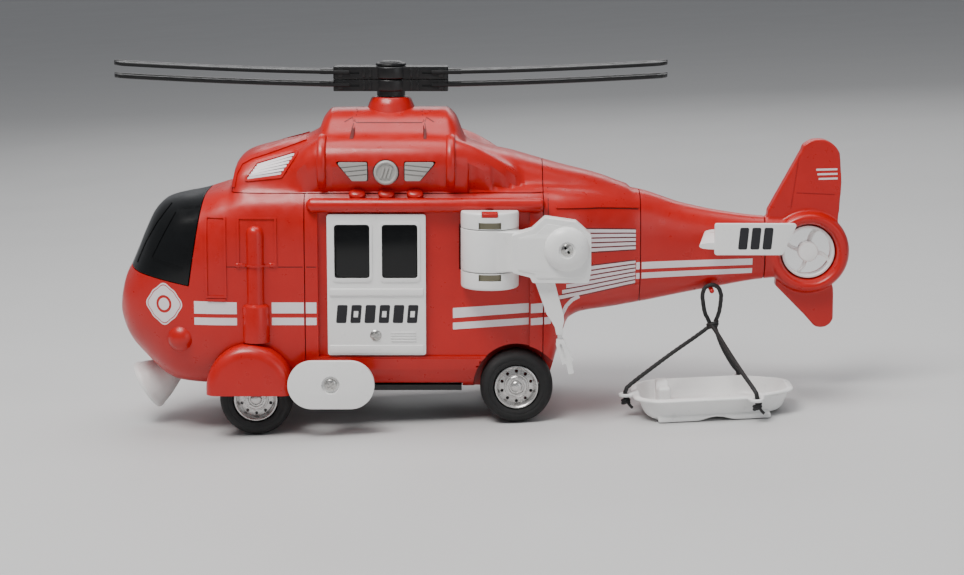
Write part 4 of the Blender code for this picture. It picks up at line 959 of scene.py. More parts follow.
def voxelled(obj, size, passes):
    """One skin over joined solids, with the small fillets of a moulding."""
    skin = obj.modifiers.new("skin", "REMESH")
    skin.mode = "VOXEL"
    skin.voxel_size = size * (1.8 if QUICK else 1)
    soft = obj.modifiers.new("soft", "SMOOTH")
    soft.factor = 0.5
    soft.iterations = passes
    return baked(obj)


def wall_lathe(profile, place, steps=64):
    """A lathe whose heights point to port, at (x, y, z)."""
    return moved(lathe(profile, steps), shift(*place) @ turn(90, "X"))


def screw(x, y, z, radius):
    """A pan-head screw with a cross recess, its head facing port."""
    head = lathe([(0, -0.5), (radius, -0.5), (radius, 0.1), (radius * 0.86, 0.45), (radius * 0.5, 0.68),
                  (0, 0.74)], 40)
    arm, wide = radius * 0.62, radius * 0.17
    for low, (u, v) in ((0.15, (arm, wide)), (0.2, (wide, arm))):
        head = cut(head, moved(box((-u, -v, low), (u, v, 2)), turn(38, "Z")))
    return moved(head, shift(x, y, z) @ turn(90, "X"))


# ---------------------------------------------------------------- raised details and prints of the skin

def frame_outline(low, high, width, radius=0.5):
    (x0, z0), (x1, z1) = low, high
    return [rectangle(low, high, radius),
            rectangle((x0 + width, z0 + width), (x1 - width, z1 - width), radius * 0.6)]


def band(x0, x1, left, right):
    """A stripe from x0 to x1 whose top and bottom levels change evenly."""
    return [[(x0, left[1]), (x1, right[1]), (x1, right[0]), (x0, left[0])]]


def level(x, x0, x1, start, end):
    return start + (end - start) * (x - x0) / (x1 - x0)


def laid(surface, outlines, name, look, lift, *draping):
    """A draped sheet on each side of the body."""
    sided(lambda: draped(surface, outlines, lift, *draping), name, look, "airframe", sharp=30)


def relief(surface):
    """Raised frames, ledges and rims."""
    raised = {
        "nose_panel_frame": frame_outline((-66.1, 1.6), (-58.4, 31), 0.8),
        "nose_panel_tab": [round_corners([(-65.6, 0.4), (-58.8, 0.4), (-58.8, 1.3), (-65.6, 1.3)], 0.3)],
        "leg_panel_frame": frame_outline((-54.4, 13.1), (-40.2, 31), 0.8),
        "sill_ledge": [round_corners(
            [(-24.6, -25), (31, -25), (32.8, -23.2), (33.4, -20.6), (-24.6, -20.6)], 0.5)],
        "cowl_rim": [ribbon(
            [(-56, 40.6), (-55.2, 45.4), (-53.4, 48.8), (-50, 50.6), (-43, 52.8), (-30.5, 57)], 1)],
        "louvre_rim": [round_corners([(-53, 42.6), (-48.4, 49.6), (-31.4, 54.4), (-38.6, 44.2)], 1.2),
                       round_corners([(-52, 43.3), (-47.8, 48.9), (-33, 53.2), (-39.2, 45)], 0.9)],
        "rear_crease": [ribbon([(60, 34), (75, 33.4), (90.6, 32)], 0.9)],
    }
    for name, outlines in raised.items():
        laid(surface, outlines, name, RED, 0.45, 0.4, 1.2)
    scallop = [(0, -2), (2.3, -2), (2.3, -0.5), (1.9, 0), (1.1, 0.25), (0, 0.35)]
    for i, x in enumerate((-11.4, -0.9, 9.4)):
        place = shift(x, -28.5, 39.7) @ turn(38, "X") @ stretch(1.25)
        sided(lambda: moved(lathe(scallop, 32), place), "cowl_scallop_%d" % i, RED, "airframe")
    tab = [(0, -1.5), (0.9, -1.5), (0.9, 0.2), (0.6, 0.6), (0, 0.75)]
    for i, x in enumerate((-53.9, -41.9)):
        place = shift(x, -31, 13.6) @ turn(90, "X") @ stretch(1.7)
        sided(lambda: moved(lathe(tab, 24), place), "leg_tab_%d" % i, RED, "airframe")
    beads = {
        "windscreen_pillar": ribbon(
            [(-79.8, 34), (-84.6, 27.6), (-88.9, 20.4), (-91.6, 14.6), (-92.4, 12.6)], 0.5),
        "windscreen_bead_top": ribbon([(-77.6, 31.4), (-81.8, 23.8), (-86, 15.6)], 0.45),
        "windscreen_bead_low": ribbon([(-85.4, 14.9), (-80, 13.4), (-74.4, 11.9)], 0.45),
    }
    for name, outline in beads.items():
        laid(surface, [outline], name, SMOKED, 0.28, 0.3, 1.2)


LOUVRE_END = 89.6


def upper_louvre(i):
    """The heights of a louvre's two ends; a slit lies half a step from its neighbours."""
    return level(i, 0, 4, 25.4, 18.2), level(i, 0, 4, 23.4, 17.3)


def lower_louvre(i):
    return level(i, 0, 5, 11.4, 1.5), level(i, 0, 5, 12, 4.6)


def front_louvre(t):
    """The two ends of a line across the louvres ahead of the engine, from t = 0 at the front to 1."""
    return [(level(t, 0, 1, -51.4, -47.4), level(t, 0, 1, 43.6, 48.8)),
            (level(t, 0, 1, -39.3, -33.6), level(t, 0, 1, 45.2, 53))]


def prints(surface):
    """Stripes and louvres printed in white, and the dark slits between the louvres."""
    printed = {
        "stripe_nose_upper": band(-70.4, -54.9, (0.3, -4.3), (0, -4.3)),
        "stripe_nose_lower": band(-70.4, -54.9, (-5.7, -8.4), (-5.7, -8.4)),
        "stripe_leg_upper": band(-42.3, -30.75, (0, -4), (0, -4)),
        "stripe_leg_lower": band(-42.3, -30.75, (-5.6, -8.3), (-5.6, -8.3)),
        "stripe_door_upper": band(-30, -26.2, (0, -4), (0, -4)),
        "stripe_door_lower": band(-30, -26.2, (-5.6, -8.3), (-5.6, -8.3)),
        "stripe_winch_upper": band(22.9, 50.3, (-2.4, -6.1), (-0.6, -4)),
        "stripe_winch_lower": band(22.9, 50.3, (-7.8, -10.3), (-5.9, -8.4)),
        "stripe_rear_upper": band(51, 55.3, (-0.6, -4), (-0.3, -3.8)),
        "stripe_rear_lower": band(51, 55.3, (-5.9, -8.4), (-5.6, -8.2)),
        "stripe_step_upper": band(55.9, 58.6, (-0.3, -3.8), (-0.1, -3.6)),
        "stripe_step_lower": band(55.9, 58.2, (-5.6, -8.2), (-5.4, -8)),
        "stripe_seam_upper": band(89.9, 91.2, (11.8, 9.2), (11.9, 9.2)),
        "stripe_seam_lower": band(89.9, 91.2, (7.8, 5.6), (7.8, 5.6)),
        "stripe_boom_upper": band(92, 133.3, (11.8, 9.2), (12.2, 9.8)),
        "stripe_boom_lower": band(92, 133.3, (7.8, 5.6), (8.5, 6.6)),
        "swoosh": [ribbon([(68.6, 1.3), (66, 0.1), (63.9, -1.9), (62.4, -4.8), (61.2, -8.6)], 1.5)],
    }
    for i in range(5):
        start, end = upper_louvre(i)
        printed["upper_louvre_%d" % i] = band(68.6 + 0.3 * i, LOUVRE_END, (start + 0.62, start - 0.62),
                                              (end + 0.52, end - 0.52))
    for i, x in enumerate((69.4, 67.2, 65.4, 63.8, 62.3, 61.2)):
        start, end = lower_louvre(i)
        printed["lower_louvre_%d" % i] = band(x, LOUVRE_END, (start + 0.66, start - 0.66),
                                              (end + 0.48, end - 0.48))
    for i in range(6):
        printed["front_louvre_%d" % i] = [ribbon(front_louvre((i + 0.5) / 6), 0.75)]
    for name, outlines in printed.items():
        laid(surface, outlines, name, PRINT, 0.07)

    slits = {}
    for i in range(6):
        start, end = upper_louvre(i - 0.5)
        slits["upper_slit_%d" % i] = ribbon([(69, start), (LOUVRE_END, end)], 0.24)
    for i, x in enumerate((69.8, 68.6, 66.6, 64.9, 63.4, 62.1, 61.6)):
        start, end = lower_louvre(i - 0.5)
        slits["lower_slit_%d" % i] = ribbon([(x, start), (LOUVRE_END, end)], 0.24)
    for i in range(5):
        slits["front_slit_%d" % i] = ribbon(front_louvre((i + 1) / 6), 0.22)
    for name, outline in slits.items():
        laid(surface, [outline], name, INK, 0.05)
    # painted shade: thin dark sheets laid where the engraved grooves' shade would fall
    for i, line in enumerate(PANEL_LINES):
        laid(surface, [ribbon(line, 0.34)], "panel_line_%d" % i, GROOVE_SHADE, 0.03)


def rosette(surface):
    """A plain scalloped badge on each cheek."""
    cx, cz = -81.6, -1.2

    def around(count, radius):
        points = []
        for i in range(count):
            a = 2 * math.pi * i / count
            points.append((cx + 0.9 * radius(a) * math.cos(a), cz + 1.02 * radius(a) * math.sin(a)))
        return points

    def scalloped(scale):
        return around(96, lambda a: scale * (6.9 - 0.9 * abs(math.sin(2 * a)) ** 3 + 0.25 * math.cos(8 * a)))

    def ring(radius):
        return around(64, lambda a: radius)

    for name, outlines in (("badge_edge", [scalloped(1.06), scalloped(0.98)]),
                           ("badge_field", [scalloped(0.93), ring(3.2)]), ("badge_middle", [ring(2.2)])):
        sided(lambda: draped(surface, outlines, 0.07, 0.25, 1), name, PRINT, "airframe")


# ---------------------------------------------------------------- fairings, lamp and foot plates

def fairing():
    """A hood over the front tyre, rounded off towards port."""
    steps = 15 if QUICK else 49
    rings = []
    for y, inset in ((-31.3, 0), (-34.8, 0), (-36, 0.25), (-37.1, 0.9), (-37.9, 1.8), (-38.4, 3),
                     (-38.6, 4.4)):
        outline = [(-66 + inset, -32.9)] + arc(HOOD, 15.7 - inset, 180, 0, steps)
        outline.append((-34.6 - inset, -32.9))
        rings.append([(x, y, z) for x, z in outline])
    space = [(-64.2, -36)] + arc(HOOD, 13.9, 180, 0, steps) + [(-36.4, -36)]
    return cut(loft(rings), slab([space], -36.6, -20, "Y"))


def foot_plate():
    ends = 12 if QUICK else 33
    x, z = FOOT_SCREW
    stadium = arc((-27.5, z), 8.7, 270, 90, ends) + arc((-13.8, z), 8.7, 90, -90, ends)
    plate = bevelled(slab([stadium], -41.4, -38.9, "Y"), 0.8, 5)
    dish = wall_lathe([(0, -1), (3, -1), (3.4, 0.8), (0, 0.8)], (x, -41, z), 40)
    return join(cut(plate, dish), box((-26, -39.5, -32.6), (-15, -31.4, -24)))


def fittings():
    sided(fairing, "wheel_fairing", RED, "airframe", "front_fairing", "red_plastic", bevel=0.15)
    sided(foot_plate, "foot_board", WHITE, "airframe", "foot_plate", "white_plastic", bevel=0.1)
    x, z = FOOT_SCREW
    sided(lambda: screw(x, -40.5, z, 2.2), "foot_screw", STEEL, "airframe")
    place = shift(-92.5, 0, -37.3) @ turn(59.3, "Y")
    cup = lathe([(0, 13.4), (3.4, 13.3), (4.2, 12.6), (5.8, 9.6), (7.3, 6.6), (8.4, 3.8), (8.9, 2.2),
                 (9.3, 1.6), (9.45, 0.8), (9.3, 0.1), (8.9, -0.05), (8.5, 0.2), (8.2, 1.2), (7.6, 2.6),
                 (5.6, 8), (0, 11)], 96)
    piece(moved(cup, place), "lamp_cup", WHITE, "airframe", ["searchlight_cup"], "white_plastic")
    ribs = [(0, 2.6), (7.4, 2.2), (7.55, 1.6), (7.5, 1.2)]
    for k in range(7):
        ribs += [(7 - k * 0.95, 1 - 0.13 * k), (6.55 - k * 0.95, 0.62 - 0.1 * k)]
    lens = moved(lathe(ribs + [(0, 0.1)], 96), place @ shift(0, 0, 0.4))
    piece(lens, "lamp_lens", CLEAR, "airframe", ["searchlight_lens"], "clear_plastic")


# ---------------------------------------------------------------- doors

def door_leaf():
    panes = [(-19.6, -6.9), (-2.5, 10.3)]
    leaf = slab([rectangle((-22.2, -19.3), (13.2, 32), 1.1)], -31.2, -29.35, "Y")
    leaf = bevelled(leaf, 0.25, 2)
    holes = [rectangle((a, 8.8), (b, 28.3), 1.3) for a, b in panes]
    leaf = cut(leaf, *[slab([hole], -40, -20, "Y") for hole in holes])
    leaf = cut(leaf, box((-20.7, -30.4, 7.8), (11.5, -20, 29.4)))
    frames = [slab([rectangle((a - 0.95, 7.5), (b + 0.95, 29.4), 1.9), hole], -31.55, -31, "Y")
              for (a, b), hole in zip(panes, holes)]
    frames = [bevelled(ring, 0.2, 2) for ring in frames]
    waist = [bevelled(box((-21.4, -31.75, 2.5), (12.4, -31, 5.1)), 0.3, 3),
             bevelled(box((-21.4, -31.55, -18.7), (12.4, -31, -15.6)), 0.25, 3)]
    leaf = join(leaf, *frames, *waist)
    ridges = [bevelled(box((0.6, -31.45, z), (9.6, -31.05, z + 0.5)), 0.12, 2)
              for z in (-14.3, -13.3, -12.3, -11.3)]
    return join(leaf, *ridges)


def door_mark():
    """A row of slanted blocks in place of a word."""
    blocks = []
    for i in range(6):
        x = -19.2 + i * 5.1
        outline = [(x, -7.5), (x + 3.7, -7.5), (x + 4.3, -0.9), (x + 0.6, -0.9)]
        hole = [(x + 1.2, -5.4), (x + 2.8, -5.4), (x + 3, -3.1), (x + 1.4, -3.1)]
        blocks.append(slab([round_corners(outline, 0.5, 3)] + ([hole] if i % 2 else []), -31.27, -31, "Y"))
    return merged(blocks)


def doors():
    sided(door_leaf, "door_leaf", WHITE, "SIDE_door", "door", "white_plastic", bevel=0.06)
    sided(lambda: bevelled(box((-20.3, -30, 8.2), (11.1, -29.35, 29)), 0.15, 2), "door_panes", SMOKED,
          "SIDE_door",
          "door_glazing", "smoked_plastic")
    sided(door_mark, "door_mark", INK, "SIDE_door")
    sided(lambda: screw(-4.9, -31.1, -12.1, 2.1), "door_screw", STEEL, "SIDE_door")
    for side in ("port", "starboard"):
        dress("door_slider_" + side, WHITE, 0.2)


# ---------------------------------------------------------------- wheels

def tyre():
    profile = [(8.3, 5.1), (8.5, 5.5), (9.2, 5.75), (9.7, 5.85), (10, 5.75), (10.4, 5.95), (11, 5.9),
               (11.6, 5.7), (12.2, 5.2), (12.7, 4.5), (13, 3.7), (13.17, 2.6), (13.2, 1.2)]
    return lathe(profile + [(r, -h) for r, h in reversed(profile)], 48 if QUICK else 128)


def ringed(count, radius, make, offset=0):
    """Things made at even steps around Z."""
    angles = [2 * math.pi * (i + offset) / count for i in range(count)]
    return [make(radius * math.cos(a), radius * math.sin(a)) for a in angles]


def rim():
    profile = [(1.5, 3.3), (4.3, 3.3), (4.5, 2.9), (6.2, 2.6), (6.5, 3), (6.8, 4.4), (7.05, 5), (7.4, 5.25),
               (7.8, 5.1), (8, 4.7), (8, -4.4), (6.8, -4.4), (6.4, 1), (3, 1), (3, -4), (1.5, -4)]
    disc = lathe(profile, 48 if QUICK else 96)
    disc = cut(disc, *ringed(10, 5.45, lambda x, y: rod((x, y, 0), (x, y, 6), 0.62, 16), 0.5))
    hub = lathe([(0, 2.2), (3.9, 2.2), (3.9, 3.9), (3.6, 4.15), (2.9, 4.2), (2.7, 3.7), (2.2, 3.7),
                 (2.05, 4.5), (1.6, 4.95), (0.9, 5.15), (0, 5.2)], 64)
    hub = cut(hub, rod((0, 0, -8), (0, 0, 4.56), 1.5, 24))
    bolts = ringed(8, 3.28, lambda x, y: rod((x, y, 4), (x, y, 4.55), 0.42, 6))
    return join(join(disc, hub), merged(bolts))


def wheels():
    for label, (x, z) in (("front", FRONT_AXLE), ("rear", REAR_AXLE)):
        place = shift(x, -26.5, z) @ turn(90, "X")
        sided(lambda: moved(tyre(), place), "tyre_ring_" + label, RUBBER, label + "_wheels", "tyre_" + label,
              "tyre_rubber")
        sided(lambda: moved(rim(), place), "wheel_disc_" + label, SILVER, label + "_wheels", "rim_" + label,
              "silver_plastic", bevel=0.07)
        dress(label + "_axle", STEEL, 0.2)
    dress("axle_gear", WHITE)
    dress("idler_gear", WHITE)
    dress("flywheel", BRASS)
    dress("motor_bracket", WHITE, 0.2)


# ---------------------------------------------------------------- rotors and tail

def blade(root_z, tip_z, side):
    start, end, half_chord = 15, 95.9, 5.6
    count = 10 if QUICK else 28
    spots = [(start + (end - start) * i / count, half_chord) for i in range(count + 1)]
    for degrees in range(10, 88, 7):
        a = math.radians(degrees)
        spots.append((end + half_chord * math.sin(a), half_chord * math.cos(a)))
    under = [(-1, -0.6), (-0.94, -0.8), (0, -0.85), (0.94, -0.8), (1, -0.6)]
    top = [(1, 0.3), (0.94, 0.5), (0.80, 0.56), (0.74, 0.46), (0.3, 0.62), (0.2, 0.84)]
    shape = under + top + [(-u, v) for u, v in reversed(top)]
    rings = []
    for x, half in spots:
        t = (x - start) / (end + half_chord - start)
        z = root_z + (tip_z - root_z) * t ** 1.6
        rings.append([(side * x, half * u, z + v) for u, v in shape])
    return loft(rings)


def across(side, x0, x1, y0, y1, z0, z1):
    """A box between x0 and x1 on one side of the rotor's middle."""
    return box((min(side * x0, side * x1), y0, z0), (max(side * x0, side * x1), y1, z1))


def rotor_bar(low, high, root_z, tip_z, bore, boss_r, foot):
    grip = bevelled(slab([rectangle((-21, -4.6), (21, 4.6), 1.2)], low, high), 0.5, 3)
    boss = bevelled(rod((0, 0, low), (0, 0, high), boss_r, 48), 0.5, 3)
    middle = (low + high) / 2
    ribs = []
    for side in (-1, 1):
        for x, wide in ((7.6, 0.5), (9.8, 0.5), (18.4, 0.9)):
            rib = box((side * x - wide, -5, middle - 1.5), (side * x + wide, 5, middle + 1.5))
            ribs.append(bevelled(rib, 0.2, 2))
        ribs.append(bevelled(across(side, 19, 26, -3.1, 3.1, root_z - 1, root_z + 0.9), 0.35, 2))
    slots = [across(side, 11.4, 16.9, y - 1, y + 1, middle - 0.4, middle + 0.4)
             for side in (-1, 1) for y in (-5, 5)]
    bar = cut(join(grip, boss, *ribs), *slots)
    if foot < low:
        bar = join(bar, rod((0, 0, foot), (0, 0, low + 1), 5.2, 48))
    bar = join(bar, blade(root_z, tip_z, 1), blade(root_z, tip_z, -1))
    return cut(bar, rod((0, 0, low - 4), (0, 0, high + 2), bore, 40))


def rotors():
    lower = rotor_bar(73.7, 77.9, 76.2, 79.4, 2.5, 6.4, 71.8)
    piece(lower, "rotor_lower", BLACK, "rotor", ["rotor_bar_lower"], "black_plastic", bevel=0.05)
    upper = rotor_bar(78.2, 82.6, 80.8, 84, 1.7, 6.6, 78.2)
    piece(upper, "rotor_upper", BLACK, "rotor_upper", ["rotor_bar_upper"], "black_plastic", bevel=0.05)
    cap = lathe([(0, 82.9), (5.5, 82.9), (5.6, 83.2), (5.4, 83.7), (4.7, 84), (4.4, 83.8), (4.1, 84.1),
                 (3.2, 84.5), (0, 84.6)], 64)
    piece(cap, "rotor_button", BLACK, "rotor_upper", ["rotor_cap"], "black_plastic")
    mast = lathe([(0, 82), (1.3, 82), (1.4, 81.8), (1.4, 77.9), (2.1, 77.9), (2.2, 77.7), (2.2, 54.2),
                  (3.2, 54.2), (3.4, 54), (3.4, 52.8), (3.2, 52.6), (0, 52.6)], 64)
    piece(mast, "rotor_shaft", STEEL, "rotor", ["rotor_mast"], "steel")


def fin_plate(outline, half, soft):
    return bevelled(slab([outline], -half, half, "Y"), soft, 4)


def tail_moulding(stub):
    """The fin, its ring duct and the end of the boom, in one moulding."""
    cx, cz = FAN
    ring = []
    for i in range(28):
        a = 2 * math.pi * i / 28
        across = math.copysign(abs(math.cos(a)) ** 0.85, math.cos(a))
        deep = math.copysign(abs(math.sin(a)) ** 0.85, math.sin(a))
        ring.append((12.75 + 2.65 * across, 6.95 * deep))
    duct = wall_lathe(ring, (cx, 0, cz), 48 if QUICK else 128)
    upper = [(138.8, 24.8), (139.2, 29.4), (151.2, 51.6)] + arc((157.6, 47.6), 8.2, 135, 20, 24)
    upper += [(166.2, 40), (165.6, 30), (164, 14), (150, 14)]
    lower = [(143, 8), (142.6, 1.2), (153.9, -10.2)] + arc((159.8, -10), 4.7, 235, 345, 20)
    lower += [(164.2, 0), (162, 8)]
    disc = rod((cx, -9, cz), (cx, 9, cz), 13.7, 96)
    fins = cut(join(fin_plate(upper, 3, 1.9), fin_plate(lower, 2.6, 1.7)), duplicate(disc))
    whole = join(duct, fins, cut(stub, disc))
    lip = wall_lathe([(10.7, -2.2), (10.7, -3.4), (8.9, -3.4), (8.9, -2.2)], (cx, 0, cz), 96)
    whole = join(voxelled(whole, 0.42, 5), lip)
    creases = [ribbon([(147.6, 30.4), (150.4, 50.6)], 0.45), ribbon([(149.6, 36), (163.6, 35.4)], 0.4)]
    for crease in creases:
        whole = cut(whole, *both_sides(slab([crease], -4, -2.75, "Y")))
    return whole


def fin_bars():
    """Three printed bars in place of a number."""
    return merged([slab([ribbon([(156.6 + 0.5 * k, 44.6 - 1.7 * k), (164.4 + 0.1 * k, 44.8 - 1.7 * k)], 0.7)],
                        -3.06, -2.9, "Y") for k in range(3)])


def spoke():
    """A twisted, swept blade of the tail rotor, along x."""
    start, end, last = 2.6, 9, 8
    rows = []
    for k in range(last + 1):
        t = k / last
        r = start + (end - start) * k / last
        twist = math.radians(34 + 16 * k / last)
        half, thick = 1.15, 0.62 - 0.12 * k / last
        bend = math.radians(-16 * t ** 2)
        row = []
        for u, v in ((-1, 0), (-0.6, 0.8), (0.6, 0.8), (1, 0), (0.6, -0.8), (-0.6, -0.8)):
            a, b = half * u, thick * v
            y = -0.1 + a * math.cos(twist) - b * math.sin(twist)
            w = a * math.sin(twist) + b * math.cos(twist)
            row.append((r * math.cos(bend) - w * math.sin(bend), y, r * math.sin(bend) + w * math.cos(bend)))
        rows.append(row)
    return loft(rows)


def tail_wheel():
    cx, cz = FAN
    wheel = wall_lathe([(9.8, -1.7), (9.8, 3.2), (9.6, 3.4), (9, 3.4), (8.8, 3.2), (8.8, -1.7), (9, -1.9),
                        (9.6, -1.9)], (cx, 0, cz), 96)
    hub = wall_lathe([(0, -1.6), (3.4, -1.6), (3.7, -1.2), (3.7, 3.3), (3.4, 3.8), (2.6, 4), (0, 4)],
                     (cx, 0, cz), 64)
    spokes = [moved(spoke(), shift(cx, 0, cz) @ turn(9 + 90 * i, "Y")) for i in range(4)]
    return join(join(wheel, hub), *spokes)


def tail(stub):
    piece(tail_moulding(stub), "tail_moulding", RED, "airframe", ["tail_fin"], "red_plastic", sharp=50)
    sided(fin_bars, "fin_bars", PRINT, "airframe")
    piece(tail_wheel(), "tail_fan_wheel", WHITE, "tail_fan", ["tail_rotor"], "white_plastic", bevel=0.08)
    piece(stabiliser(), "tail_plane", WHITE, "airframe", ["stabiliser"], "white_plastic", bevel=0.08)
    piece(plate_mark(), "plate_mark", INK, "airframe")


def stabiliser():
    outline = round_corners([(115.7, 19), (139.6, 19), (144.8, 30.2), (115.7, 30.2)], 0.9)
    plate = bevelled(slab([outline], -41.93, -40, "Y"), 0.45, 3)
    rows = []
    for y, front in ((-7, 115.4), (-40.6, 110.3)):
        chord = 134 - front
        shape = [(0, 0), (0.015, 0.55), (0.05, 0.9), (0.14, 1.2), (0.32, 1.32), (0.55, 1.2), (0.8, 0.85),
                 (1, 0.5), (1, -0.5), (0.8, -0.8), (0.55, -1.1), (0.32, -1.22), (0.14, -1.1), (0.05, -0.85),
                 (0.015, -0.5)]
        rows.append([(front + chord * u, y, 22 + v) for u, v in shape])
    grown = [section(x, low - GAP, top + GAP, half + GAP, square, 64)
             for x, top, low, half, square in HULL[-6:]]
    return cut(join(plate, loft(rows)), loft(grown))


def plate_mark():
    """Three upright blocks in place of a number."""
    blocks = []
    for i in range(3):
        x = 123.9 + i * 4.3
        outline = [(x, 21), (x + 3.2, 21), (x + 3.9, 28.8), (x + 0.7, 28.8)]
        blocks.append(slab([round_corners(outline, 0.6, 3)], -41.99, -41.8, "Y"))
    return merged(blocks)


# ---------------------------------------------------------------- buttons, switch and belly

def wing_button(outline, lean):
    plate = bevelled(slab([outline], -30.4, -23, "Y"), 0.4, 3)
    xs = [x for x, _ in outline]
    middle = (min(xs) + max(xs)) / 2
    cuts = [slab([ribbon([(middle - 9, z + 0.9 * lean), (middle + 9, z - 0.9 * lean)], 0.42)],
                 -40, -30.02, "Y")
            for z in (49.1, 47.45, 45.8)]
    return cut(plate, *cuts)


def disc_button():
    cap = wall_lathe([(0, 23), (4.4, 23), (4.4, 30.3), (4.2, 30.75), (3.8, 31), (3.4, 30.9), (3.1, 30.5),
                      (0, 30.5)], (-0.9, 0, 46.9), 64)
    marks = [slab([ribbon([(-0.9 + a, 44.9), (-0.9 + b, 48.9)], 0.75)], -30.9, -30.3, "Y")
             for a, b in ((-2, -0.7), (-0.65, 0.65), (0.7, 2))]
    return join(cap, merged(marks))


def controls():
    shapes = button_shapes(0)
    caps = {"front": wing_button(shapes["sound_button_front"], -1), "middle": disc_button(),
            "rear": wing_button(shapes["sound_button_rear"], 1)}
    for which, obj in caps.items():
        piece(obj, which + "_button_cap", GREY, which + "_button", ["sound_button_" + which], "grey_plastic",
              bevel=0.06)
    for node in ("power_switch", "chassis_pan", "battery_cover", "speaker"):
        dress(node, BLACK, 0.2)
    dress("battery_cells", STEEL, 0.1)
    dress("circuit_board", BOARD, 0.1)
    low = -33.1
    for i, (x, y) in enumerate(BELLY_SCREWS):
        head = moved(lathe([(0, -0.4), (1.9, -0.4), (1.9, 0.1), (1.6, 0.38), (0.9, 0.55), (0, 0.6)], 32),
                     shift(x, y, low) @ turn(180, "X"))
        for u, v in ((1.2, 0.3), (0.3, 1.2)):
            head = cut(head, box((x - u, y - v, low - 1), (x + u, y + v, low - 0.2)))
        piece(head, "belly_screw_%d" % i, STEEL, "airframe")


# ---------------------------------------------------------------- winch

def head_outline(inset=0):
    corners = [(51.2, 9.8), (71, 9.8), (71.8, 14), (71.8, 26.8), (66.6, 31.4), (55.6, 33), (51, 28.8),
               (44, 26.6), (44, 13.4), (50.4, 11.8)]
    if inset:
        middle = Vector((60, 21))
        corners = [tuple(Vector(c) + (middle - Vector(c)).normalized() * inset) for c in corners]
    return round_corners(corners, 1.1, 4)


def winch_box(x0, x1, y0, y1, low, high):
    """A box placed from the winch's own axis."""
    x, y = WINCH
    return box((x + x0, y + y0, low), (x + x1, y + y1, high))


def winch_rod(low, high, radius, sides=32):
    return rod((*WINCH, low), (*WINCH, high), radius, sides)


def narrowed(obj, half, low, high):
    """What lies within half of the winch's axis along x."""
    return cut(obj, winch_box(-20, -half, -20, 20, low, high), winch_box(half, 20, -20, 20, low, high))


def winch_bracket(sides):
    x, y = WINCH
    back = -29.3
    drum = bevelled(winch_rod(6, 33.8, 10.4, sides), 0.9, 4)
    drum = cut(drum, winch_rod(ARM_Z[0] - GAP, ARM_Z[1] + GAP, 12.4, sides))
    backs = [box((x - 8, y + 0.4, 6), (x + 8, back, ARM_Z[0] - GAP)),
             box((x - 8, y + 0.4, ARM_Z[1] + GAP), (x + 8, back, 32.2)),
             box((x + 2.6, y + 0.4, ARM_Z[0] - 1), (x + 8, back, ARM_Z[1] + 1))]
    eyes = [winch_box(-4, 4, -14, -6, z - 1.2, z + 1.2) for z in EYES_Z]
    notch = winch_box(-3, 3, -12, -4, 32.2, 36)
    bracket = cut(join(drum, *backs), box((x - 20, back, 0), (x + 20, 0, 40)))
    bracket = cut(bracket, box((x - 20, -31.3, 32.2), (x + 20, 0, 40)))
    bracket = cut(bracket, winch_rod(0, 40, 1.9))
    bracket = cut(bracket, notch, *eyes)
    rail = rod((0, *RAIL_START[1:]), (60, *RAIL_END[1:]), 2.9, 32)
    piece(cut(bracket, rail), "winch_cups", WHITE, "airframe", ["winch_bracket"], "white_plastic", bevel=0.15)
    for i, z in enumerate(EYES_Z):
        pad = cut(winch_rod(z - 1.05, z + 1.05, 9.3, 64), winch_rod(z - 2, z + 2, 6.2, 48))
        pad = cut(narrowed(pad, 3.8, z - 3, z + 3), winch_box(-5, 5, 0, 20, z - 3, z + 3))
        piece(pad, "winch_window_%d" % i, OLIVE, "airframe", bevel=0.1)
    latch = cut(narrowed(winch_rod(32.3, 33.7, 10.1, 64), 2.8, 30, 40),
                winch_box(-5, 5, -4.2, 20, 30, 40))
    piece(latch, "winch_latch", RED, "airframe", bevel=0.2)
    dress("winch_pin", STEEL, 0.1)


def winch_boom(sides):
    x, y = WINCH
    hub = bevelled(winch_rod(*ARM_Z, 10.4, sides), 0.4, 3)
    hub = cut(hub, box((x - 20, y + 0.1, 0), (x + 20, 0, 40)))
    beam = bevelled(box((x, y - 10.2, ARM_Z[0] + 0.3), (53.5, y - 4.6, ARM_Z[1] - 0.3)), 0.5, 3)
    head = bevelled(slab([head_outline()], -46.8, -39.6, "Y"), 0.7, 4)
    face = slab([head_outline(2.2)], -47.05, -46.6, "Y")
    piece(bevelled(face, 0.2, 2), "winch_boom_face", WHITE, "winch")
    arm = join(hub, beam, head)
    px, pz = DROP_PIVOT
    pocket = cut(box((49.8, -45, 0), (72.8, -41.4, 21.6)), rod((px, -45.6, pz), (px, -40.8, pz), 1, 32))
    arm = cut(arm, winch_rod(0, 40, 1.8), pocket)
    piece(arm, "winch_boom", WHITE, "winch", ["winch_arm"], "white_plastic", bevel=0.15)
    dome = [(0, 0), (7.6, 0), (7.9, 0.3), (7.9, 0.8), (7.4, 1.5), (6.5, 2.3), (5.3, 2.9), (4.2, 3.2),
            (3, 3.35), (2.8, 2.7), (0, 2.7)]
    piece(wall_lathe(dome, (63.2, -47.1, 22), 96), "winch_dome", WHITE, "winch", ["winch_cap"],
          "white_plastic")
    piece(screw(63.2, -49.6, 22, 2.3), "winch_screw", STEEL, "winch")


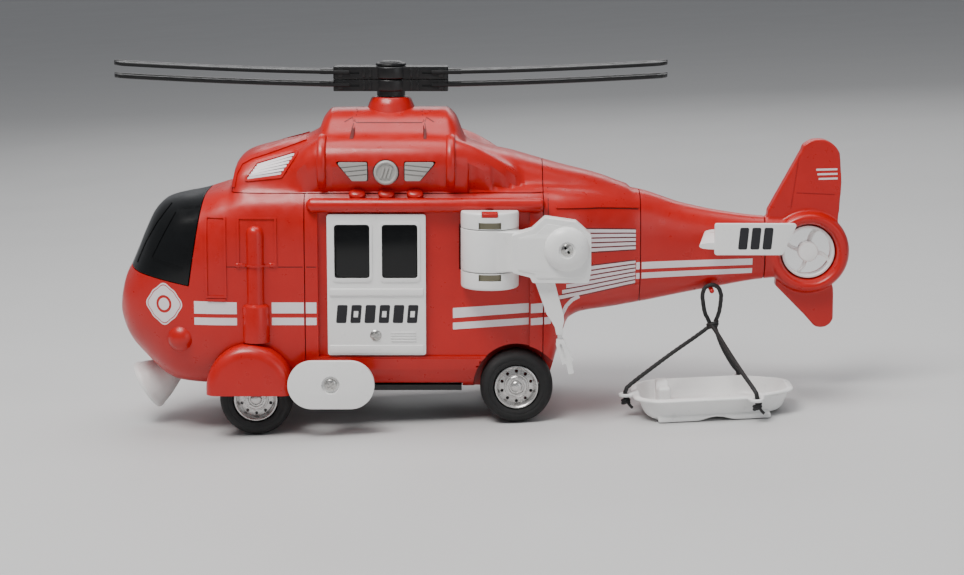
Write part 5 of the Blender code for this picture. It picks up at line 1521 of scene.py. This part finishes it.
def dropper():
    px, pz = DROP_PIVOT
    outline = arc((px, pz), 3, 20, 190, 20)
    outline += [(52.3, 9.4), (54.4, 3.6), (56.3, -1.8), (57.6, -3.6), (59.2, -6.4), (59.8, -9.2),
                (62.2, -9.2), (62, -6.6), (62.5, -4.2), (62.3, -2), (61.4, 1.2), (60.2, 5.6), (59.2, 9.4)]
    arm = bevelled(slab([outline], -44.6, -41.8, "Y"), 0.4, 3)
    arm = cut(arm, rod((px, -50, pz), (px, -38, pz), 1.3, 32))
    arm = cut(arm, box((57, -43.75, -12), (65, -42.65, -5.6)))
    hx, hz = HOOK_PIVOT
    return join(arm, rod((hx, -44.6, hz), (hx, -41.8, hz), 0.5, 24))


def hook():
    hx, hz = HOOK_PIVOT
    eye = rod((hx, -43.5, hz), (hx, -42.9, hz), 1.3, 40)
    neck = slab([[(hx - 0.7, hz - 1.05), (hx + 0.9, hz - 1.05), (hx + 1.5, hz - 3.8), (hx - 0.5, hz - 3.8)]],
                -43.48, -42.92, "Y")
    prong = [(59.9, -11), (62.6, -11), (65.9, -18.4), (65.3, -18.9), (66.2, -23.2), (64.2, -23.6),
             (63.3, -19.8), (62, -20.2), (59.7, -13)]
    plate = bevelled(slab([round_corners(prong, 0.25, 3)], -44.3, -42.1, "Y"), 0.3, 2)
    slit = slab([ribbon([(61.2, -12.6), (63.4, -18.6)], 0.8)], -45, -43.6, "Y")
    return cut(join(eye, neck, cut(plate, slit)), rod((hx, -50, hz), (hx, -38, hz), 0.8, 24))


def winch():
    sides = 32 if QUICK else 96
    winch_bracket(sides)
    winch_boom(sides)
    piece(dropper(), "winch_dropper", WHITE, "winch_drop", ["drop_arm"], "white_plastic", bevel=0.06)
    piece(hook(), "winch_hook", WHITE, "hook", ["rescue_hook"], "white_plastic", bevel=0.05)


# ---------------------------------------------------------------- stretcher and sling, in row axes

TUB_X = (52.5, 108.5)
TUB_Y = (-40.55, -4.55)
LUGS = [(49, -24.55), (94.6, -43.35), (92.6, -1.75)]
CORD_R = 0.8
SLING_LOOP = [(49, -24.55, 6.4), (49.2, -24.5, 9.6), (52, -22.95, 12), (66, -14.35, 19.6),
              (78.6, -6.4, 25.8), (82.1, -4.2, 28.4), (80.6, -4.15, 33), (80, -4.15, 37.6),
              (80, -4.15, 39.85), (80.98, -4.15, 42.22), (83.35, -4.15, 43.2), (85.72, -4.15, 42.22),
              (86.7, -4.15, 39.85), (86.7, -4.15, 37.6), (85.9, -4, 33), (84.3, -3.6, 28.4),
              (84.8, -3.4, 25.4), (87, -2.75, 19), (90.4, -2.05, 12.4), (92.4, -1.75, 9.6),
              (92.6, -1.75, 6.4)]
SLING_LEG = [(83.1, -6.3, 28), (84.4, -9.95, 26), (87, -19.95, 21.6), (90.6, -32.35, 16),
             (93.8, -41.35, 11.4), (94.6, -43.15, 9.4), (94.6, -43.35, 6.4)]


def tub_outline(inset):
    low_x, high_x = TUB_X
    low_y, high_y = TUB_Y
    corners = [(low_x + inset, low_y + 6), (low_x + 7, low_y + inset), (high_x - 16, low_y + inset),
               (high_x - inset, low_y + 9), (high_x - inset, high_y - 9), (high_x - 16, high_y - inset),
               (low_x + 7, high_y - inset), (low_x + inset, high_y - 6)]
    return round_corners(corners, 8.5, 12)


def tub_rings(levels):
    return loft([[(x, y, z) for x, y in tub_outline(inset)] for z, inset in levels])


def stretcher():
    tub = tub_rings([(0.9, 6.2), (1.1, 4.6), (1.7, 3.5), (2.8, 2.7), (4.8, 1.8), (7, 0.9), (8.3, 0.3),
                     (8.75, 0.2), (8.9, 0.45)])
    rim = tub_rings([(7.6, 0.8), (7.6, -0.7), (7.75, -1.05), (8.1, -1.2), (8.4, -1.1), (8.65, -0.8),
                     (8.75, 0.4)])
    middle = (TUB_X[0] + TUB_X[1]) / 2
    low_y, high_y = TUB_Y[0] + 2.1, TUB_Y[1] - 2.1
    skirt = box((TUB_X[0] + 7.2, low_y, 0.04), (TUB_X[1] - 8.6, high_y, 2))
    bend = [(middle + dx, -0.1 + 1.5 * (0.5 + 0.5 * math.cos(math.pi * dx / 8.5)))
            for dx in np.linspace(-8.5, 8.5, 29)]
    skirt = cut(skirt, slab([[(middle - 8.5, -1)] + bend + [(middle + 8.5, -1)]], -50, 10, "Y"))
    lugs = []
    for x, y in LUGS:
        inward = (Vector((middle, (TUB_Y[0] + TUB_Y[1]) / 2)) - Vector((x, y))).normalized()
        if abs(inward.y) > 0.3:
            inward = Vector((0, math.copysign(1, inward.y)))
        here, tip = Vector((x, y)), Vector((x, y)) + inward * 4
        across = Vector((-inward.y, inward.x)) * 2.5
        corners = [here - across, tip - across * 1.3, tip + across * 1.3, here + across]
        strap = slab([[tuple(corner) for corner in corners]], 7.35, 8.45)
        lugs.append(cut(join(rod((x, y, 7.3), (x, y, 8.5), 2.5, 48), strap),
                        rod((x, y, 0), (x, y, 20), 1.2, 32)))
    pillow = bevelled(box((TUB_X[0] + 8, -31.95, 1.5), (TUB_X[0] + 12.6, -12.95, 11.2)), 0.9, 4)
    pillow = cut(pillow, rod((TUB_X[0], -22.45, 15.2), (TUB_X[0] + 20, -22.45, 15.2), 6.6, 64))
    hollow_space = tub_rings([(2.2, 6.2), (2.45, 5), (3.2, 4.1), (4.8, 3.1), (7, 2.1), (8.3, 1.45),
                              (8.95, 1.25), (10, 1.2)])
    tub = cut(join(tub, rim), hollow_space)
    whole = voxelled(merged([tub, skirt, pillow] + lugs), 0.34, 4)
    piece(whole, "stretcher_tub", WHITE, "slung_stretcher", ["stretcher"], "white_plastic", place=ROW_MM,
          sharp=60)


def smooth_route(points, spacing):
    route = [Vector(point) for point in points]
    route = [route[0] * 2 - route[1]] + route + [route[-1] * 2 - route[-2]]
    samples = []
    for before, start, end, after in zip(route, route[1:], route[2:], route[3:]):
        steps = max(1, round((end - start).length / spacing))
        for i in range(steps):
            t = i / steps
            bend = start * 2 + (end - before) * t + (before * 2 - start * 5 + end * 4 - after) * t ** 2
            samples.append((bend + (start * 3 - before - end * 3 + after) * t ** 3) / 2)
    samples.append(route[-2])
    return samples


def braid(points, radius, spacing=0.42, sides=18, pitch=2.1):
    """A tube whose skin is crossed by two sets of turning strands."""
    route = smooth_route(points, spacing * (2 if QUICK else 1))
    normal = (route[1] - route[0]).orthogonal().normalized()
    rings = []
    travelled = 0
    for i, here in enumerate(route):
        ahead = (route[min(i + 1, len(route) - 1)] - route[max(i - 1, 0)]).normalized()
        normal = (normal - ahead * normal.dot(ahead)).normalized()
        side = ahead.cross(normal)
        if i:
            travelled += (here - route[i - 1]).length
        turns = 2 * math.pi * travelled / pitch
        ring = []
        for k in range(sides):
            a = 2 * math.pi * k / sides
            strand = max(math.sin(3 * a + turns), math.sin(3 * a - turns + 1))
            far = radius * (0.90 + 0.10 * strand)
            ring.append(here + (normal * math.cos(a) + side * math.sin(a)) * far)
        rings.append(ring)
    return loft(rings)


def coil(centre, ring_radius, turns, rise, start_deg, tilt):
    """Points of a wrapped turn or two about a standing line."""
    count = max(6, round(turns * 14))
    points = []
    for i in range(count + 1):
        a = math.radians(start_deg) + 2 * math.pi * turns * i / count
        x, y = ring_radius * math.cos(a), ring_radius * math.sin(a)
        points.append((centre[0] + x, centre[1] + y, centre[2] + rise * i / count + tilt * x))
    return points


def length_of(points):
    route = smooth_route(points, 0.42)
    return sum((b - a).length for a, b in zip(route, route[1:]))


def corded(obj, name, *stands_for):
    return piece(obj, name, CORD, "slung_stretcher", *stands_for, place=ROW_MM, sharp=70)


def sling():
    loop = corded(braid(SLING_LOOP, CORD_R), "sling_loop_cord", ["sling_loop"], "black_cord")
    leg = corded(braid(SLING_LEG, CORD_R), "sling_leg_cord", ["sling_leg"], "black_cord")
    knots = []
    for i, (x, y) in enumerate(LUGS):
        wrap = coil((x, y, 4.6), 1.15, 1.9, 1.9, 70 * i, 0.25)
        end = [(x + 0.3, y - 0.2, 6), (x + 0.9, y - 0.6, 4.9), (x + 1.7, y - 0.9, 3.7),
               (x + 2.3, y - 1.2, 3.2)]
        knots += [corded(braid(wrap, 0.62, 0.3, 12, 1.6), "lug_knot_%d" % i),
                  corded(braid(end, 0.55, 0.3, 12, 1.6), "lug_knot_end_%d" % i)]
    tie = corded(braid(coil((83.25, -4.5, 27.3), 1.75, 2.1, 2, 20, 0.2), 0.66, 0.3, 12, 1.6), "sling_tie")
    loop_path = [tuple(v * MM) for v in smooth_route(SLING_LOOP, 1.0)]
    leg_path = [tuple(v * MM) for v in smooth_route(SLING_LEG, 1.0)]
    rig.cord(loop, exit=loop_path[0], length=round(length_of(SLING_LOOP) * MM, 4), diameter=2 * CORD_R * MM,
            far_end="knot", stiffness="limp", lay="hanging", path=loop_path,
            with_pieces=knots[:2] + knots[4:] + [tie])
    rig.cord(leg, exit=leg_path[0], length=round(length_of(SLING_LEG) * MM, 4), diameter=2 * CORD_R * MM,
            far_end="knot", stiffness="limp", lay="hanging", path=leg_path, with_pieces=knots[2:4])


def floor():
    bm = bmesh.new()
    bmesh.ops.create_grid(bm, x_segments=1, y_segments=1, size=12)
    ground = mesh_object("floor", bm)
    ground.data.materials.append(FLOOR)
    ground.location.z = -0.0002
    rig.stage(ground)


def main():
    camera()
    studio()
    floor()
    surface, stub = body()
    relief(surface)
    prints(surface)
    rosette(surface)
    fittings()
    doors()
    wheels()
    rotors()
    tail(stub)
    controls()
    winch()
    stretcher()
    sling()


main()
json.dump({"cad": [list(corner) for corner in CAD_BOX], "visual": [list(corner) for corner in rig.bounds()]},
          open("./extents.json", "w"))
